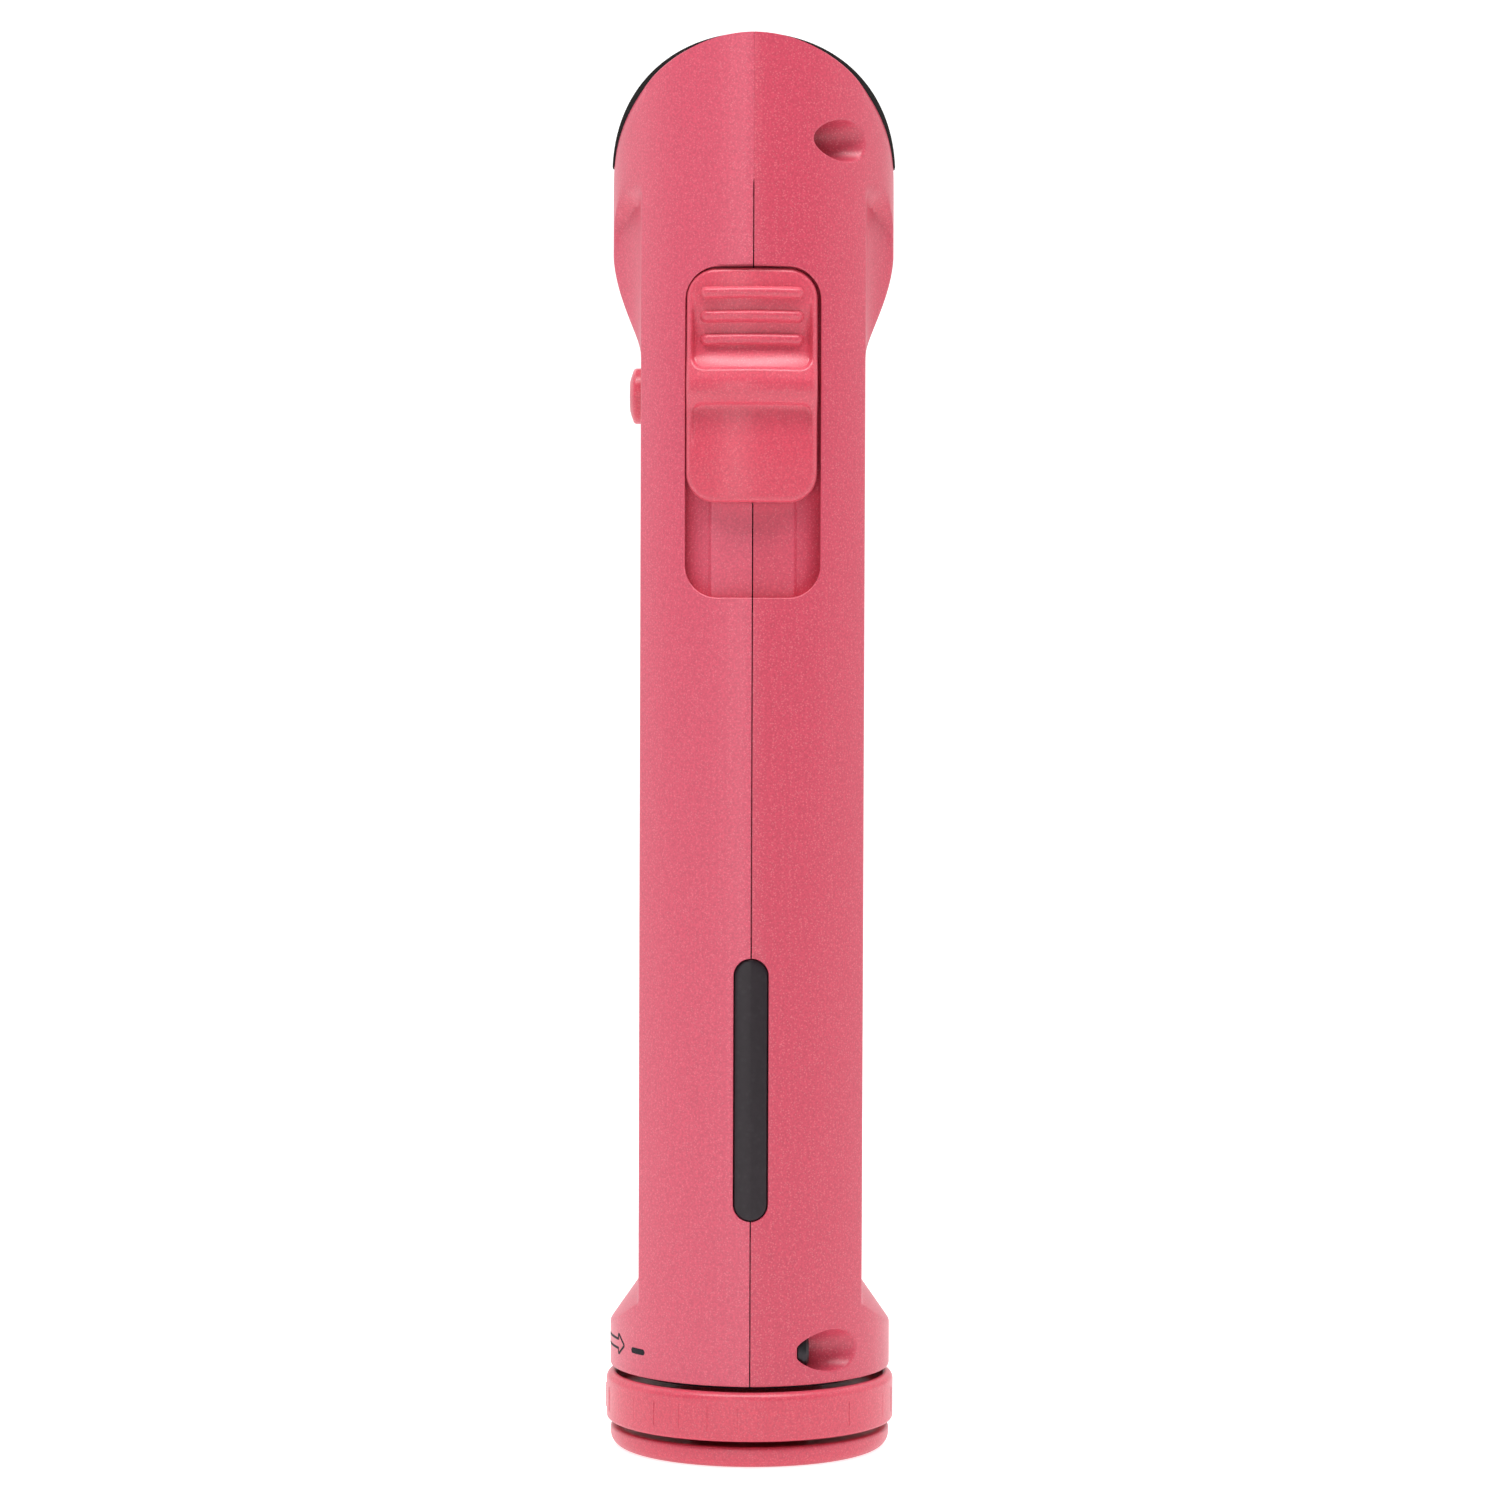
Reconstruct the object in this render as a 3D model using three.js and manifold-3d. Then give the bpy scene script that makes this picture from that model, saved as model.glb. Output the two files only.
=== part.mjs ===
// Telescoping selfie stick: a two-shell grip with a round head, a thumb lock, a panning foot
// and a four-stage mast that carries a round phone disc. Millimetres, +Z up, the front faces -Y.
import * as THREE from "three";
import { mergeVertices } from "three/addons/utils/BufferGeometryUtils.js";
import Module from "manifold-3d";

const wasm = await Module();
wasm.setup();

// Overall form
const overallHeight = 227.6;
const gripRadius = 22.9; // front and back of the grip
const flatHalf = 18; // side flats
const wall = 2;
const seamHalf = 0.1; // half the gap between the two shells
const crease = 0.7; // how far each front arc's centre sits across the seam
const clearance = 0.3; // between neighbouring pieces

// Head
const headHalf = 22.95;
const domeHeight = 20;
const neckRise = 51; // start of the neck's S-curve, below the top
const neckLength = 19.5;
const headBack = 2.5; // y of the head's rear face
const shoulderDrop = 55.6; // rear shoulder, below the top
const scoopRadius = 14.8;
const scoopForward = 12; // scoop axis, in front of the grip axis
const scoopTopDrop = 32.1; // where a scoop starts to round off, below the top
const scoopEnd = 7.6;
const bumperWidth = 3.4;
const bumperDepth = 1.2;
const bumperSetback = 1.3; // behind the front rim of the head
const bumperProud = 0.3;
const bumperSpan = 22.5; // height of the head that the bumper strip covers
const backPlateInset = 3.4;

// Foot and lock ring
const footRadius = 22.8;
const footThickness = 3.4;
const footEdge = 1.9;
const ringRadius = 23.5;
const ringHeight = 7.8;
const ringEdge = 1.6;
const turningGap = 0.9; // between foot, ring and shells
const padRadius = 19;
const padThickness = 1.3;
const tripodHole = 3.2; // radius
const insertRadius = 6;
const insertHeight = 8.2;
const hubRadius = 9;
const spindleRadius = 4.9;
const spindleBore = 3.7;
const bearingThickness = 3;
const washerThickness = 1.2;
const nutHeight = 3;
const nutRadius = 8;
const flareRise = 14.2; // from the shells' lower edge up to the flats
const flareSlope = (gripRadius - flatHalf + 0.3) / (flareRise / 2 + 0.3);
const flareBend = 52; // plan radius of a flare at its top

// Thumb lock
const trackHalf = 10.75;
const trackTopDrop = 36.8; // below the top
const trackLength = 52.4;
const trackCorner = 5.2;
const trackDepth = 3;
const trackShelf = 7; // half width of the raised middle of the floor
const trackStep = 0.6;
const trackSideDrop = 2;
const trackFloor = 1.7; // thickness behind the floor
const sliderLength = 37;
const lockTravel = 14.8;
const crestHeight = 1.7; // finger stop above the grip surface
const scoopDepth = 1.5;
const ribHalf = 8.15;
const ribRadius = 0.9;
const ribPitch = 3.65;
const stemHalf = 3;
const stemLength = 6.5;
const stemDrop = 15.4; // stem top, below the slider's top
const platePitch = 1.5; // thickness of the inner plate
const finInner = 3.2;
const finThickness = 1.6;
const brakePinRadius = 1;
const brakePinY = -10;
const brakeTravel = 1.2;
const shoeHalf = 2.8;
const shoeHeight = 7;

// Window and light
const windowHalf = 2.65;
const windowLength = 41.6;
const windowBase = 39.5;

// Shutter button
const buttonRadius = 4.5;
const buttonY = -6;
const buttonZ = 171.2;
const buttonProud = 1.9;
const buttonTravel = 0.6;

// Case screws, which run along X
const upperScrewInset = 5.9; // from the front of the grip
const lowerScrewInset = 4.9;
const upperScrewDrop = 16.4; // below the top
const middleScrewY = -3;
const middleScrewZ = 118;
const lowerScrewRise = 5.2; // above the shells' lower edge
const recessRadius = 3.3;
const recessWall = 1;
const recessFloor = 8; // x of each recess floor
const screwShank = 1.1;
const screwHead = 2.8;
const screwDepth = 16;

// Battery and boards
const cellRadius = 7;
const cellLength = 50;
const cellY = -6.2;
const cellBase = 28;
const boardHalf = 13;
const boardThickness = 1.6;
const boardY = 10.9 - gripRadius;
const boardBase = 84;
const boardLength = 52;
const socketHeight = 9;
const socketWidth = 3.2;
const socketZ = 100;

// Mast
const mastY = gripRadius - 11.5;
const stageCount = 4;
const guideBore = 7.7;
const guideWall = 0.5;
const tubeWall = 0.6;
const tubeFit = 0.4; // radial gap between two stages
const guideBase = 24;
const stageStep = 4; // each bush sits this much above the next wider one
const bushHeight = 3.4;
const mouthRise = 2.2; // collar above the shoulder

// Tilt head and phone disc
const tiltY = 15;
const tiltRise = 6.8; // pin axis above the shoulder
const pinRadius = 1.5;
const knuckleRadius = 2.6;
const tongueHalf = 2.5;
const cheekThickness = 2.4;
const armFront = 6;
const armThickness = 4.6;
const discRadius = 22.3;
const discBelowTop = 23.1; // disc centre
const discFront = 11;
const discDepth = 5.6;
const discWall = 2.4;
const magnetInner = 12;
const magnetOuter = 18.6;
const pivotRadius = 2;

// Heights that follow from the sizes above
const ringLow = footThickness + turningGap + 0.1;
const ringHigh = ringLow + ringHeight;
const shellLow = ringHigh + turningGap;
const flareHigh = shellLow + flareRise;
const neckLow = overallHeight - neckRise;
const neckHigh = neckLow + neckLength;
const domeBase = overallHeight - domeHeight;
const shoulder = overallHeight - shoulderDrop;
const trackHigh = overallHeight - trackTopDrop;
const trackLow = trackHigh - trackLength;
const sliderHigh = trackHigh - clearance;
const sliderLow = sliderHigh - sliderLength;
const stemHigh = sliderHigh - stemDrop;
const stemLow = stemHigh - stemLength;
const brakeZ = stemLow - 11.6;
const tiltZ = shoulder + tiltRise;
const discZ = overallHeight - discBelowTop;
const innerFlat = flatHalf - wall;
const lowerScrewZ = shellLow + lowerScrewRise;
const screwPlaces = { // y and z of each case screw
  upper: [upperScrewInset - gripRadius, overallHeight - upperScrewDrop],
  middle: [middleScrewY, middleScrewZ],
  lower: [lowerScrewInset - gripRadius, lowerScrewZ],
  heel: [gripRadius - lowerScrewInset, lowerScrewZ],
};

const fine = 64; // sides of the large round pieces
const medium = 32;
const small = 16;
const outlineSteps = 12;

// ---- Solids ------------------------------------------------------------------------------

// Makes a closed geometry a solid whose faces point outwards.
function solid(geometry) {
  const loose = geometry.index ? geometry.toNonIndexed() : geometry.clone();
  loose.deleteAttribute("normal");
  loose.deleteAttribute("uv");
  const merged = mergeVertices(loose, 1e-4);
  const corners = merged.index.array;
  const places = merged.attributes.position.array;
  const outward = [];
  const inward = [];
  for (let i = 0; i < corners.length; i += 3) {
    const [a, b, c] = corners.slice(i, i + 3);
    if (a === b || b === c || c === a) continue;
    outward.push(a, b, c);
    inward.push(a, c, b);
  }
  const made = fromTriangles(places, outward);
  return made.volume() < 0 ? fromTriangles(places, inward) : made;
}

function fromTriangles(vertProperties, triangles) {
  const triVerts = new Uint32Array(triangles);
  return new wasm.Manifold(new wasm.Mesh({ numProp: 3, vertProperties, triVerts }));
}

function geometryOf(made) {
  const mesh = made.getMesh();
  const places = new Float32Array(mesh.numVert * 3);
  for (let i = 0; i < mesh.numVert; i++) {
    const first = i * mesh.numProp;
    places.set(mesh.vertProperties.subarray(first, first + 3), i * 3);
  }
  const geometry = new THREE.BufferGeometry();
  geometry.setAttribute("position", new THREE.BufferAttribute(places, 3));
  geometry.setIndex(new THREE.BufferAttribute(mesh.triVerts, 1));
  geometry.computeVertexNormals();
  return geometry;
}

function block(left, right, front, back, low, high) {
  const box = new THREE.BoxGeometry(right - left, back - front, high - low);
  return solid(box.translate((left + right) / 2, (front + back) / 2, (low + high) / 2));
}

function rodZ(radius, low, high, x = 0, y = 0, sides = medium) {
  const rod = new THREE.CylinderGeometry(radius, radius, high - low, sides);
  return solid(rod.rotateX(Math.PI / 2).translate(x, y, (low + high) / 2));
}

function rodX(radius, left, right, y, z, sides = small) {
  const rod = new THREE.CylinderGeometry(radius, radius, right - left, sides);
  return solid(rod.rotateZ(Math.PI / 2).translate((left + right) / 2, y, z));
}

function rodY(radius, front, back, x, z, sides = small) {
  const rod = new THREE.CylinderGeometry(radius, radius, back - front, sides);
  return solid(rod.translate(x, (front + back) / 2, z));
}

// A profile of [radius, height] turned about Z.
function turned(profile, sides = fine) {
  const points = profile.map(([radius, height]) => new THREE.Vector2(radius, height));
  return solid(new THREE.LatheGeometry(points, sides).rotateX(Math.PI / 2));
}

function closed(profile) {
  return [...profile, profile[0]];
}

// A flat outline in X and Z, from front to back along Y.
function plateXZ(shape, front, back, curveSegments = 4) {
  const options = { depth: back - front, bevelEnabled: false, curveSegments };
  return solid(new THREE.ExtrudeGeometry(shape, options).rotateX(Math.PI / 2).translate(0, back, 0));
}

// A flat outline in X and Y, from low to high along Z.
function plateXY(shape, low, high, curveSegments = 4) {
  const options = { depth: high - low, bevelEnabled: false, curveSegments };
  return solid(new THREE.ExtrudeGeometry(shape, options).translate(0, 0, low));
}

// A flat outline in Y and Z, from left to right along X.
function plateYZ(shape, left, right, curveSegments = 4) {
  const options = { depth: right - left, bevelEnabled: false, curveSegments };
  const plate = new THREE.ExtrudeGeometry(shape, options);
  return solid(plate.rotateX(Math.PI / 2).rotateZ(Math.PI / 2).translate(left, 0, 0));
}

function polygon(points) {
  return new THREE.Shape(points.map(([x, y]) => new THREE.Vector2(x, y)));
}

// A rectangle with round corners; equal halves and corner make a stadium.
function roundRect(left, right, low, high, corner) {
  const shape = new THREE.Shape();
  shape.absarc(right - corner, low + corner, corner, -Math.PI / 2, 0);
  shape.absarc(right - corner, high - corner, corner, 0, Math.PI / 2);
  shape.absarc(left + corner, high - corner, corner, Math.PI / 2, Math.PI);
  shape.absarc(left + corner, low + corner, corner, Math.PI, 1.5 * Math.PI);
  return shape;
}

// A quarter-round corner as [radius, height] points, from one angle to another.
function corner(centreRadius, centreHeight, radius, from, to, steps = 3) {
  const points = [];
  for (let i = 0; i <= steps; i++) {
    const angle = THREE.MathUtils.degToRad(from + ((to - from) * i) / steps);
    points.push([centreRadius + radius * Math.cos(angle), centreHeight + radius * Math.sin(angle)]);
  }
  return points;
}

// ---- The grip's outer form ---------------------------------------------------------------

// Front outline of the grip and head, moved inwards by inset.
function gripOutline(inset, low) {
  const flat = flatHalf - inset;
  const wide = headHalf - inset;
  const bend = neckLow + neckLength * 0.24;
  const top = neckHigh - neckLength * 0.46;
  const shape = new THREE.Shape();
  shape.moveTo(-flat, low);
  shape.lineTo(flat, low);
  shape.lineTo(flat, neckLow);
  shape.bezierCurveTo(flat, bend, wide, top, wide, neckHigh);
  shape.lineTo(wide, domeBase);
  shape.absellipse(0, domeBase, wide, domeHeight - inset, 0, Math.PI);
  shape.lineTo(-wide, neckHigh);
  shape.bezierCurveTo(-wide, top, -flat, bend, -flat, neckLow);
  return shape;
}

// The conical flare of one side, which widens the flats to the full round at the foot.
function flareCone(side, inset, low) {
  const narrow = flareBend - inset;
  const wide = narrow + flareSlope * (flareRise / 2 + 0.3);
  const profile = [
    [0, low],
    [wide, low],
    [wide, flareHigh - flareRise / 2],
    [narrow, flareHigh],
    [0, flareHigh],
  ];
  return turned(profile, 96).translate(side * (flatHalf - flareBend), 0, 0);
}

function scoopCutter(side, inset) {
  const radius = scoopRadius + inset;
  const high = overallHeight - scoopTopDrop;
  const x = side * (flatHalf + scoopRadius);
  const shaft = rodZ(radius, neckLow, high, x, -scoopForward, fine);
  const ball = new THREE.SphereGeometry(radius, 40, 16).rotateX(Math.PI / 2);
  const flatten = (scoopEnd + inset) / 8.45; // the grip surface passes this deep inside the ball
  const end = ball.scale(1, 1, flatten).translate(x, -scoopForward, high);
  return shaft.add(solid(end));
}

function gripForm(inset) {
  const low = inset > 0 ? shellLow - 1 : shellLow;
  const column = rodZ(gripRadius - inset, low, overallHeight, 0, 0, fine);
  const outline = plateXZ(gripOutline(inset, low), -40, 40, outlineSteps);
  const flare = flareCone(-1, inset, low).intersect(flareCone(1, inset, low));
  const rear = block(-40, 40, headBack - inset, 40, shoulder - inset, overallHeight + 1);
  let form = column.intersect(outline.add(flare)).subtract(rear);
  for (const side of [-1, 1]) form = form.subtract(scoopCutter(side, inset));
  return form;
}

// The round that gives one half its own front arc, so that the halves meet in a slight crease.
function creaseRound(side) {
  const across = -side * crease;
  return rodZ(gripRadius + crease, 0, overallHeight + 1, across, crease, fine);
}

const outerForm = gripForm(0);
const innerForm = gripForm(wall);

// ---- Thumb lock track --------------------------------------------------------------------

const floorY = -gripRadius + trackDepth;

// The track's cross-section in X and Y: a raised shelf with a step and a slope at each side.
function trackSection(half, shelf, back) {
  const edge = floorY + trackStep + back;
  return polygon([
    [-half, -40],
    [half, -40],
    [half, edge + trackSideDrop],
    [shelf, edge],
    [shelf, floorY + back],
    [-shelf, floorY + back],
    [-shelf, edge],
    [-half, edge + trackSideDrop],
  ]);
}

function trackPocket() {
  const rim = roundRect(-trackHalf, trackHalf, trackLow, trackHigh, trackCorner);
  const section = trackSection(trackHalf, trackShelf, 0);
  return plateXY(section, trackLow, trackHigh).intersect(plateXZ(rim, -40, 0));
}

function trackTub() {
  const half = trackHalf + trackFloor;
  const low = trackLow - trackFloor;
  const high = trackHigh + trackFloor;
  const rim = roundRect(-half, half, low, high, trackCorner + trackFloor);
  const section = trackSection(half, trackShelf + trackFloor, trackFloor);
  return plateXY(section, low, high).intersect(plateXZ(rim, -40, 0)).intersect(outerForm);
}

function stemSlot() {
  const half = stemHalf + clearance;
  return block(-half, half, -40, -10, stemLow - lockTravel - clearance, stemHigh + clearance);
}

// ---- Shells ------------------------------------------------------------------------------

// Band over the crown: its front edge follows the front rim, and its back edge is straight.
function bumperRing(depth, height, back, gap) {
  const low = overallHeight - bumperSpan;
  const high = overallHeight + 5;
  const band = (inset) => plateXZ(gripOutline(inset, shellLow), -gripRadius, back, outlineSteps);
  const behindRim = rodZ(gripRadius - bumperSetback - gap, low, high, 0, 0, fine);
  const sides = block(-40, 40, headBack - bumperWidth + gap, back + 1, low, high);
  return band(-height).subtract(band(depth)).intersect(behindRim.add(sides));
}

function screwBosses(side) {
  let bosses = null;
  for (const [y, z] of Object.values(screwPlaces)) {
    const length = side > 0 ? gripRadius : screwDepth - recessFloor + wall;
    const radius = side > 0 ? recessRadius + recessWall : screwHead + recessWall;
    const left = side > 0 ? seamHalf : -length;
    const right = side > 0 ? length : -seamHalf;
    const boss = rodX(radius, left, right, y, z).intersect(outerForm);
    bosses = bosses ? bosses.add(boss) : boss;
  }
  return bosses;
}

function screwHoles(side) {
  let holes = null;
  for (const [y, z] of Object.values(screwPlaces)) {
    const shank = rodX(screwShank + clearance, -screwDepth + recessFloor - 0.5, recessFloor, y, z);
    const hole = side > 0 ? shank.add(rodX(recessRadius, recessFloor, 40, y, z)) : shank;
    holes = holes ? holes.add(hole) : hole;
  }
  return holes;
}

// Ribs that hold the guide tube between the shells.
function mastRibs() {
  let ribs = null;
  const count = 3;
  const span = shoulder - guideBase;
  for (let i = 0; i < count; i++) {
    const z = guideBase + (span * (i + 0.5)) / count;
    const rib = block(-flatHalf, flatHalf, mastY - 2, gripRadius, z - 1, z + 1);
    ribs = ribs ? ribs.add(rib) : rib;
  }
  const tube = rodZ(guideBore + guideWall + clearance, 0, overallHeight, 0, mastY);
  return ribs.subtract(tube).intersect(outerForm);
}

function windowOutline(grow) {
  const half = windowHalf + grow;
  return roundRect(-half, half, windowBase - grow, windowBase + windowLength + grow, half);
}

function socketOutline(grow) {
  const halfWidth = socketWidth / 2 + grow;
  const halfHeight = socketHeight / 2 + grow;
  const y = boardY + boardThickness / 2 + clearance + socketWidth / 2;
  return roundRect(y - halfWidth, y + halfWidth, socketZ - halfHeight, socketZ + halfHeight, halfWidth);
}

function shell(side) {
  const skin = outerForm.intersect(creaseRound(side)).subtract(innerForm);
  const bodies = skin.add(trackTub()).add(screwBosses(side)).add(mastRibs());
  const half = side > 0 ? block(seamHalf, 40, -40, 40, 0, 300) : block(-40, -seamHalf, -40, 40, 0, 300);
  const plateOutline = gripOutline(backPlateInset, neckLow);
  const plateOpening = plateXZ(plateOutline, headBack - wall - 1, headBack + 1, outlineSteps);
  const mouth = rodZ(guideBore + guideWall + clearance, shoulder - wall - 1, shoulder + 1, 0, mastY);
  let made = bodies
    .intersect(creaseRound(side))
    .intersect(half)
    .subtract(trackPocket())
    .subtract(stemSlot())
    .subtract(plateXZ(windowOutline(clearance), -40, -gripRadius + wall + 1))
    .subtract(bumperRing(bumperDepth, 2, headBack + 1, 0))
    .subtract(screwHoles(side))
    .subtract(plateOpening)
    .subtract(mouth);
  if (side > 0) made = made.subtract(plateYZ(socketOutline(clearance), innerFlat - 1, flatHalf + 1));
  if (side < 0) made = made.subtract(rodX(buttonRadius + clearance, -40, -innerFlat + 1, buttonY, buttonZ));
  return largest(made);
}

// Drops the loose slivers that a cut can leave beside the body.
function largest(made) {
  return made.decompose().sort((a, b) => b.volume() - a.volume())[0];
}

function headBumper() {
  return bumperRing(bumperDepth - clearance, bumperProud, headBack - clearance, clearance);
}

function headBackPlate() {
  const outline = gripOutline(backPlateInset + clearance, neckLow + clearance);
  return plateXZ(outline, headBack - wall, headBack, outlineSteps);
}

// A pan-head screw along X with a cross recess in its head.
function caseScrew() {
  const headLength = 2;
  const shank = rodX(screwShank, -screwDepth, 0, 0, 0, 16);
  const head = rodX(screwHead, 0, headLength, 0, 0);
  const slots = block(1.1, 3, -1.8, 1.8, -0.35, 0.35).add(block(1.1, 3, -0.35, 0.35, -1.8, 1.8));
  return shank.add(head).subtract(slots);
}

// ---- Window, battery and boards ----------------------------------------------------------

function windowLens() {
  const inner = -gripRadius + wall + 3 * clearance; // clear of the curved wall beside the pane
  const pane = plateXZ(windowOutline(0), -gripRadius, inner + 1);
  const flange = plateXZ(windowOutline(1.5), inner, inner + 1);
  const skin = outerForm.intersect(creaseRound(1)).intersect(creaseRound(-1));
  return pane.intersect(skin.add(flange)).add(flange);
}

function lightBoard() {
  const front = -gripRadius + wall + 3.3;
  const half = windowHalf + 1.8;
  const margin = 1.5;
  let board = block(-half, half, front, front + 1, windowBase - margin, windowBase + windowLength + margin);
  const count = 5;
  for (let i = 0; i < count; i++) {
    const z = windowBase + (windowLength * (i + 0.5)) / count;
    board = board.add(block(-1.2, 1.2, front - 1, front + 0.1, z - 1.2, z + 1.2));
  }
  return board;
}

function batteryCell() {
  const tip = cellBase + cellLength;
  const step = tip - 1.2; // the cap stands on this
  const can = [[0, cellBase], [cellRadius, cellBase], [cellRadius, step]];
  const cap = [[2.6, step], [2.6, tip], [0, tip]];
  return turned([...can, ...cap], small);
}

function batteryCradle() {
  const side = cellRadius + clearance;
  const thick = 1.1;
  const back = cellY + cellRadius + clearance;
  const low = cellBase - clearance;
  const high = cellBase + cellLength + clearance;
  const tray = block(-side - thick, side + thick, cellY - 5, back + 0.8, low - thick, high + thick);
  return tray.subtract(block(-side, side, -40, back, low, high));
}

function mainBoard() {
  const front = boardY - boardThickness / 2;
  const back = boardY + boardThickness / 2;
  const high = boardBase + boardLength;
  const board = block(-boardHalf, boardHalf, front, back, boardBase, high);
  const controller = block(-4, 4, front - 1, front + 0.1, high - 22, high - 14);
  const coil = rodY(2.6, front - 2, front + 0.1, -8, boardBase + 8, 16);
  const plug = block(5, 11, front - 3, front + 0.1, boardBase + 4, boardBase + 9);
  return board.add(controller).add(coil).add(plug);
}

function chargingSocket() {
  const inner = flatHalf - 7.2;
  const outer = flatHalf - 0.4;
  const inside = plateYZ(socketOutline(-0.35), inner + 1, outer + 1);
  const tube = plateYZ(socketOutline(0), inner, outer).subtract(inside);
  const y = boardY + boardThickness / 2 + clearance + socketWidth / 2;
  return tube.add(block(inner, outer - 0.8, y - 0.35, y + 0.35, socketZ - 3.2, socketZ + 3.2));
}

// ---- Thumb lock --------------------------------------------------------------------------

// Outer surface of the thumb slider as [radius, height] points, from bottom to top.
function sliderProfile() {
  const rest = gripRadius - scoopDepth;
  return [
    [gripRadius - 0.3, sliderLow - 1],
    [gripRadius + 0.1, sliderLow + 5],
    [gripRadius + 0.1, sliderLow + 11],
    [gripRadius + 0.5, sliderLow + 13.4],
    [gripRadius + crestHeight - 0.15, sliderLow + 16.6],
    [gripRadius + crestHeight, sliderLow + 17.6],
    [gripRadius + crestHeight - 0.15, sliderLow + 18.6],
    [gripRadius + 0.4, sliderLow + 20.4],
    [rest + 0.35, sliderLow + 21.8],
    [rest, sliderLow + 23.2],
    [rest + 0.3, sliderLow + 26],
    [gripRadius - 0.5, sliderHigh - 3],
    [gripRadius - 0.3, sliderHigh + 1],
  ];
}

function thumbSlider() {
  const half = trackHalf - clearance;
  const rim = roundRect(-half, half, sliderLow, sliderHigh, trackCorner - 0.6);
  const section = trackSection(half, trackShelf + clearance, -clearance);
  const profile = [[10, sliderLow - 1], ...sliderProfile(), [10, sliderHigh + 1], [10, sliderLow - 1]];
  const skin = turned(profile, 96);
  const under = plateXY(section, sliderLow, sliderHigh);
  let pad = skin.intersect(plateXZ(rim, -40, 0)).intersect(under);
  for (let i = 0; i < 3; i++) {
    const z = sliderHigh - 3.9 - i * ribPitch;
    const radius = gripRadius - 0.75 - i * 0.15;
    const ring = turned(corner(radius, z, ribRadius, 0, 360, 8), 72);
    pad = pad.add(ring.intersect(block(-ribHalf, ribHalf, -40, 0, z - 2, z + 2)).intersect(under));
  }
  const stemBack = floorY + trackFloor + 0.1;
  const stem = block(-stemHalf, stemHalf, floorY - 2 * clearance, stemBack, stemLow, stemHigh);
  const bore = rodY(1.1, floorY - 0.2, floorY + 3, 0, (stemLow + stemHigh) / 2);
  return pad.add(stem).subtract(bore);
}

const plateFront = floorY + trackFloor + 2 * clearance;

// The inner plate: its two fins carry the slanted slots that draw the brake back.
function sliderPlate() {
  const low = stemLow - 8;
  const high = stemHigh + 4;
  const plate = block(-8, 8, plateFront, plateFront + platePitch, low, high);
  const finBack = brakePinY + brakePinRadius + 2;
  const finLow = brakeZ - 3;
  const finHigh = brakeZ + lockTravel + 3;
  const reach = brakePinRadius + clearance;
  const lean = (brakeTravel / lockTravel) * (lockTravel + 2 * reach);
  const slot = polygon([
    [brakePinY - reach, brakeZ - reach],
    [brakePinY + reach, brakeZ - reach],
    [brakePinY + reach - lean, brakeZ + lockTravel + reach],
    [brakePinY - reach - lean, brakeZ + lockTravel + reach],
  ]);
  let made = plate;
  for (const side of [-1, 1]) {
    const left = side > 0 ? finInner : -finInner - finThickness;
    const fin = block(left, left + finThickness, plateFront, finBack, finLow, finHigh);
    made = made.add(fin.subtract(plateYZ(slot, left - 1, left + finThickness + 1)));
  }
  return made.subtract(rodY(1.4, -40, 0, 0, (stemLow + stemHigh) / 2));
}

function sliderScrew() {
  const z = (stemLow + stemHigh) / 2;
  const back = plateFront + platePitch;
  const head = rodY(2.2, back + clearance, back + clearance + 1.2, 0, z);
  return head.add(rodY(0.8, floorY + 0.1, back + 1, 0, z, 16));
}

function brakeShoe() {
  const low = brakeZ - shoeHeight / 2;
  const high = brakeZ + shoeHeight / 2;
  const bar = block(-shoeHalf, shoeHalf, brakePinY - 2.5, -1, low, high);
  const head = block(-5.5, 5.5, -2, 0.8, low, high);
  const bore = rodX(brakePinRadius + clearance, -10, 10, brakePinY, brakeZ);
  return bar.add(head).subtract(bore);
}

function brakePad() {
  const low = brakeZ - shoeHeight / 2;
  const pad = block(-3.6, 3.6, 0.8 + clearance, mastY, low, low + shoeHeight);
  const tube = rodZ(guideBore - tubeFit + clearance, low - 1, low + shoeHeight + 1, 0, mastY);
  return pad.subtract(tube);
}

function brakeGuide() {
  const plate = block(-innerFlat + clearance, innerFlat - clearance, -6, -3.6, brakeZ - 7, brakeZ + 7);
  const half = shoeHeight / 2 + clearance;
  const side = shoeHalf + clearance;
  return plate.subtract(block(-side, side, -10, 0, brakeZ - half, brakeZ + half));
}

// ---- Shutter button ----------------------------------------------------------------------

function shutterButton() {
  const rim = flatHalf + 0.8;
  const flange = innerFlat - clearance;
  const post = [[0, flange - 2.6], [1.5, flange - 2.6], [1.5, flange - 1]];
  const profile = [...post, [5.5, flange - 1], [5.5, flange], [buttonRadius, flange]];
  const steps = 6;
  for (let i = 0; i <= steps; i++) {
    const angle = (i / steps) * (Math.PI / 2);
    const height = rim + (buttonProud - 0.8) * Math.sin(angle);
    profile.push([i === steps ? 0 : buttonRadius * Math.cos(angle), height]);
  }
  const points = profile.map(([radius, height]) => new THREE.Vector2(radius, height));
  return solid(new THREE.LatheGeometry(points, small).rotateZ(Math.PI / 2));
}

function shutterSwitch() {
  const face = -(innerFlat - clearance - 2.6) + buttonTravel + clearance;
  const body = block(face, face + 1.8, -3, 3, -3, 3);
  return body.add(block(face + 1.7, face + 3.2, -6, 6, -6, 6));
}

// ---- Foot and lock ring ------------------------------------------------------------------

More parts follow.
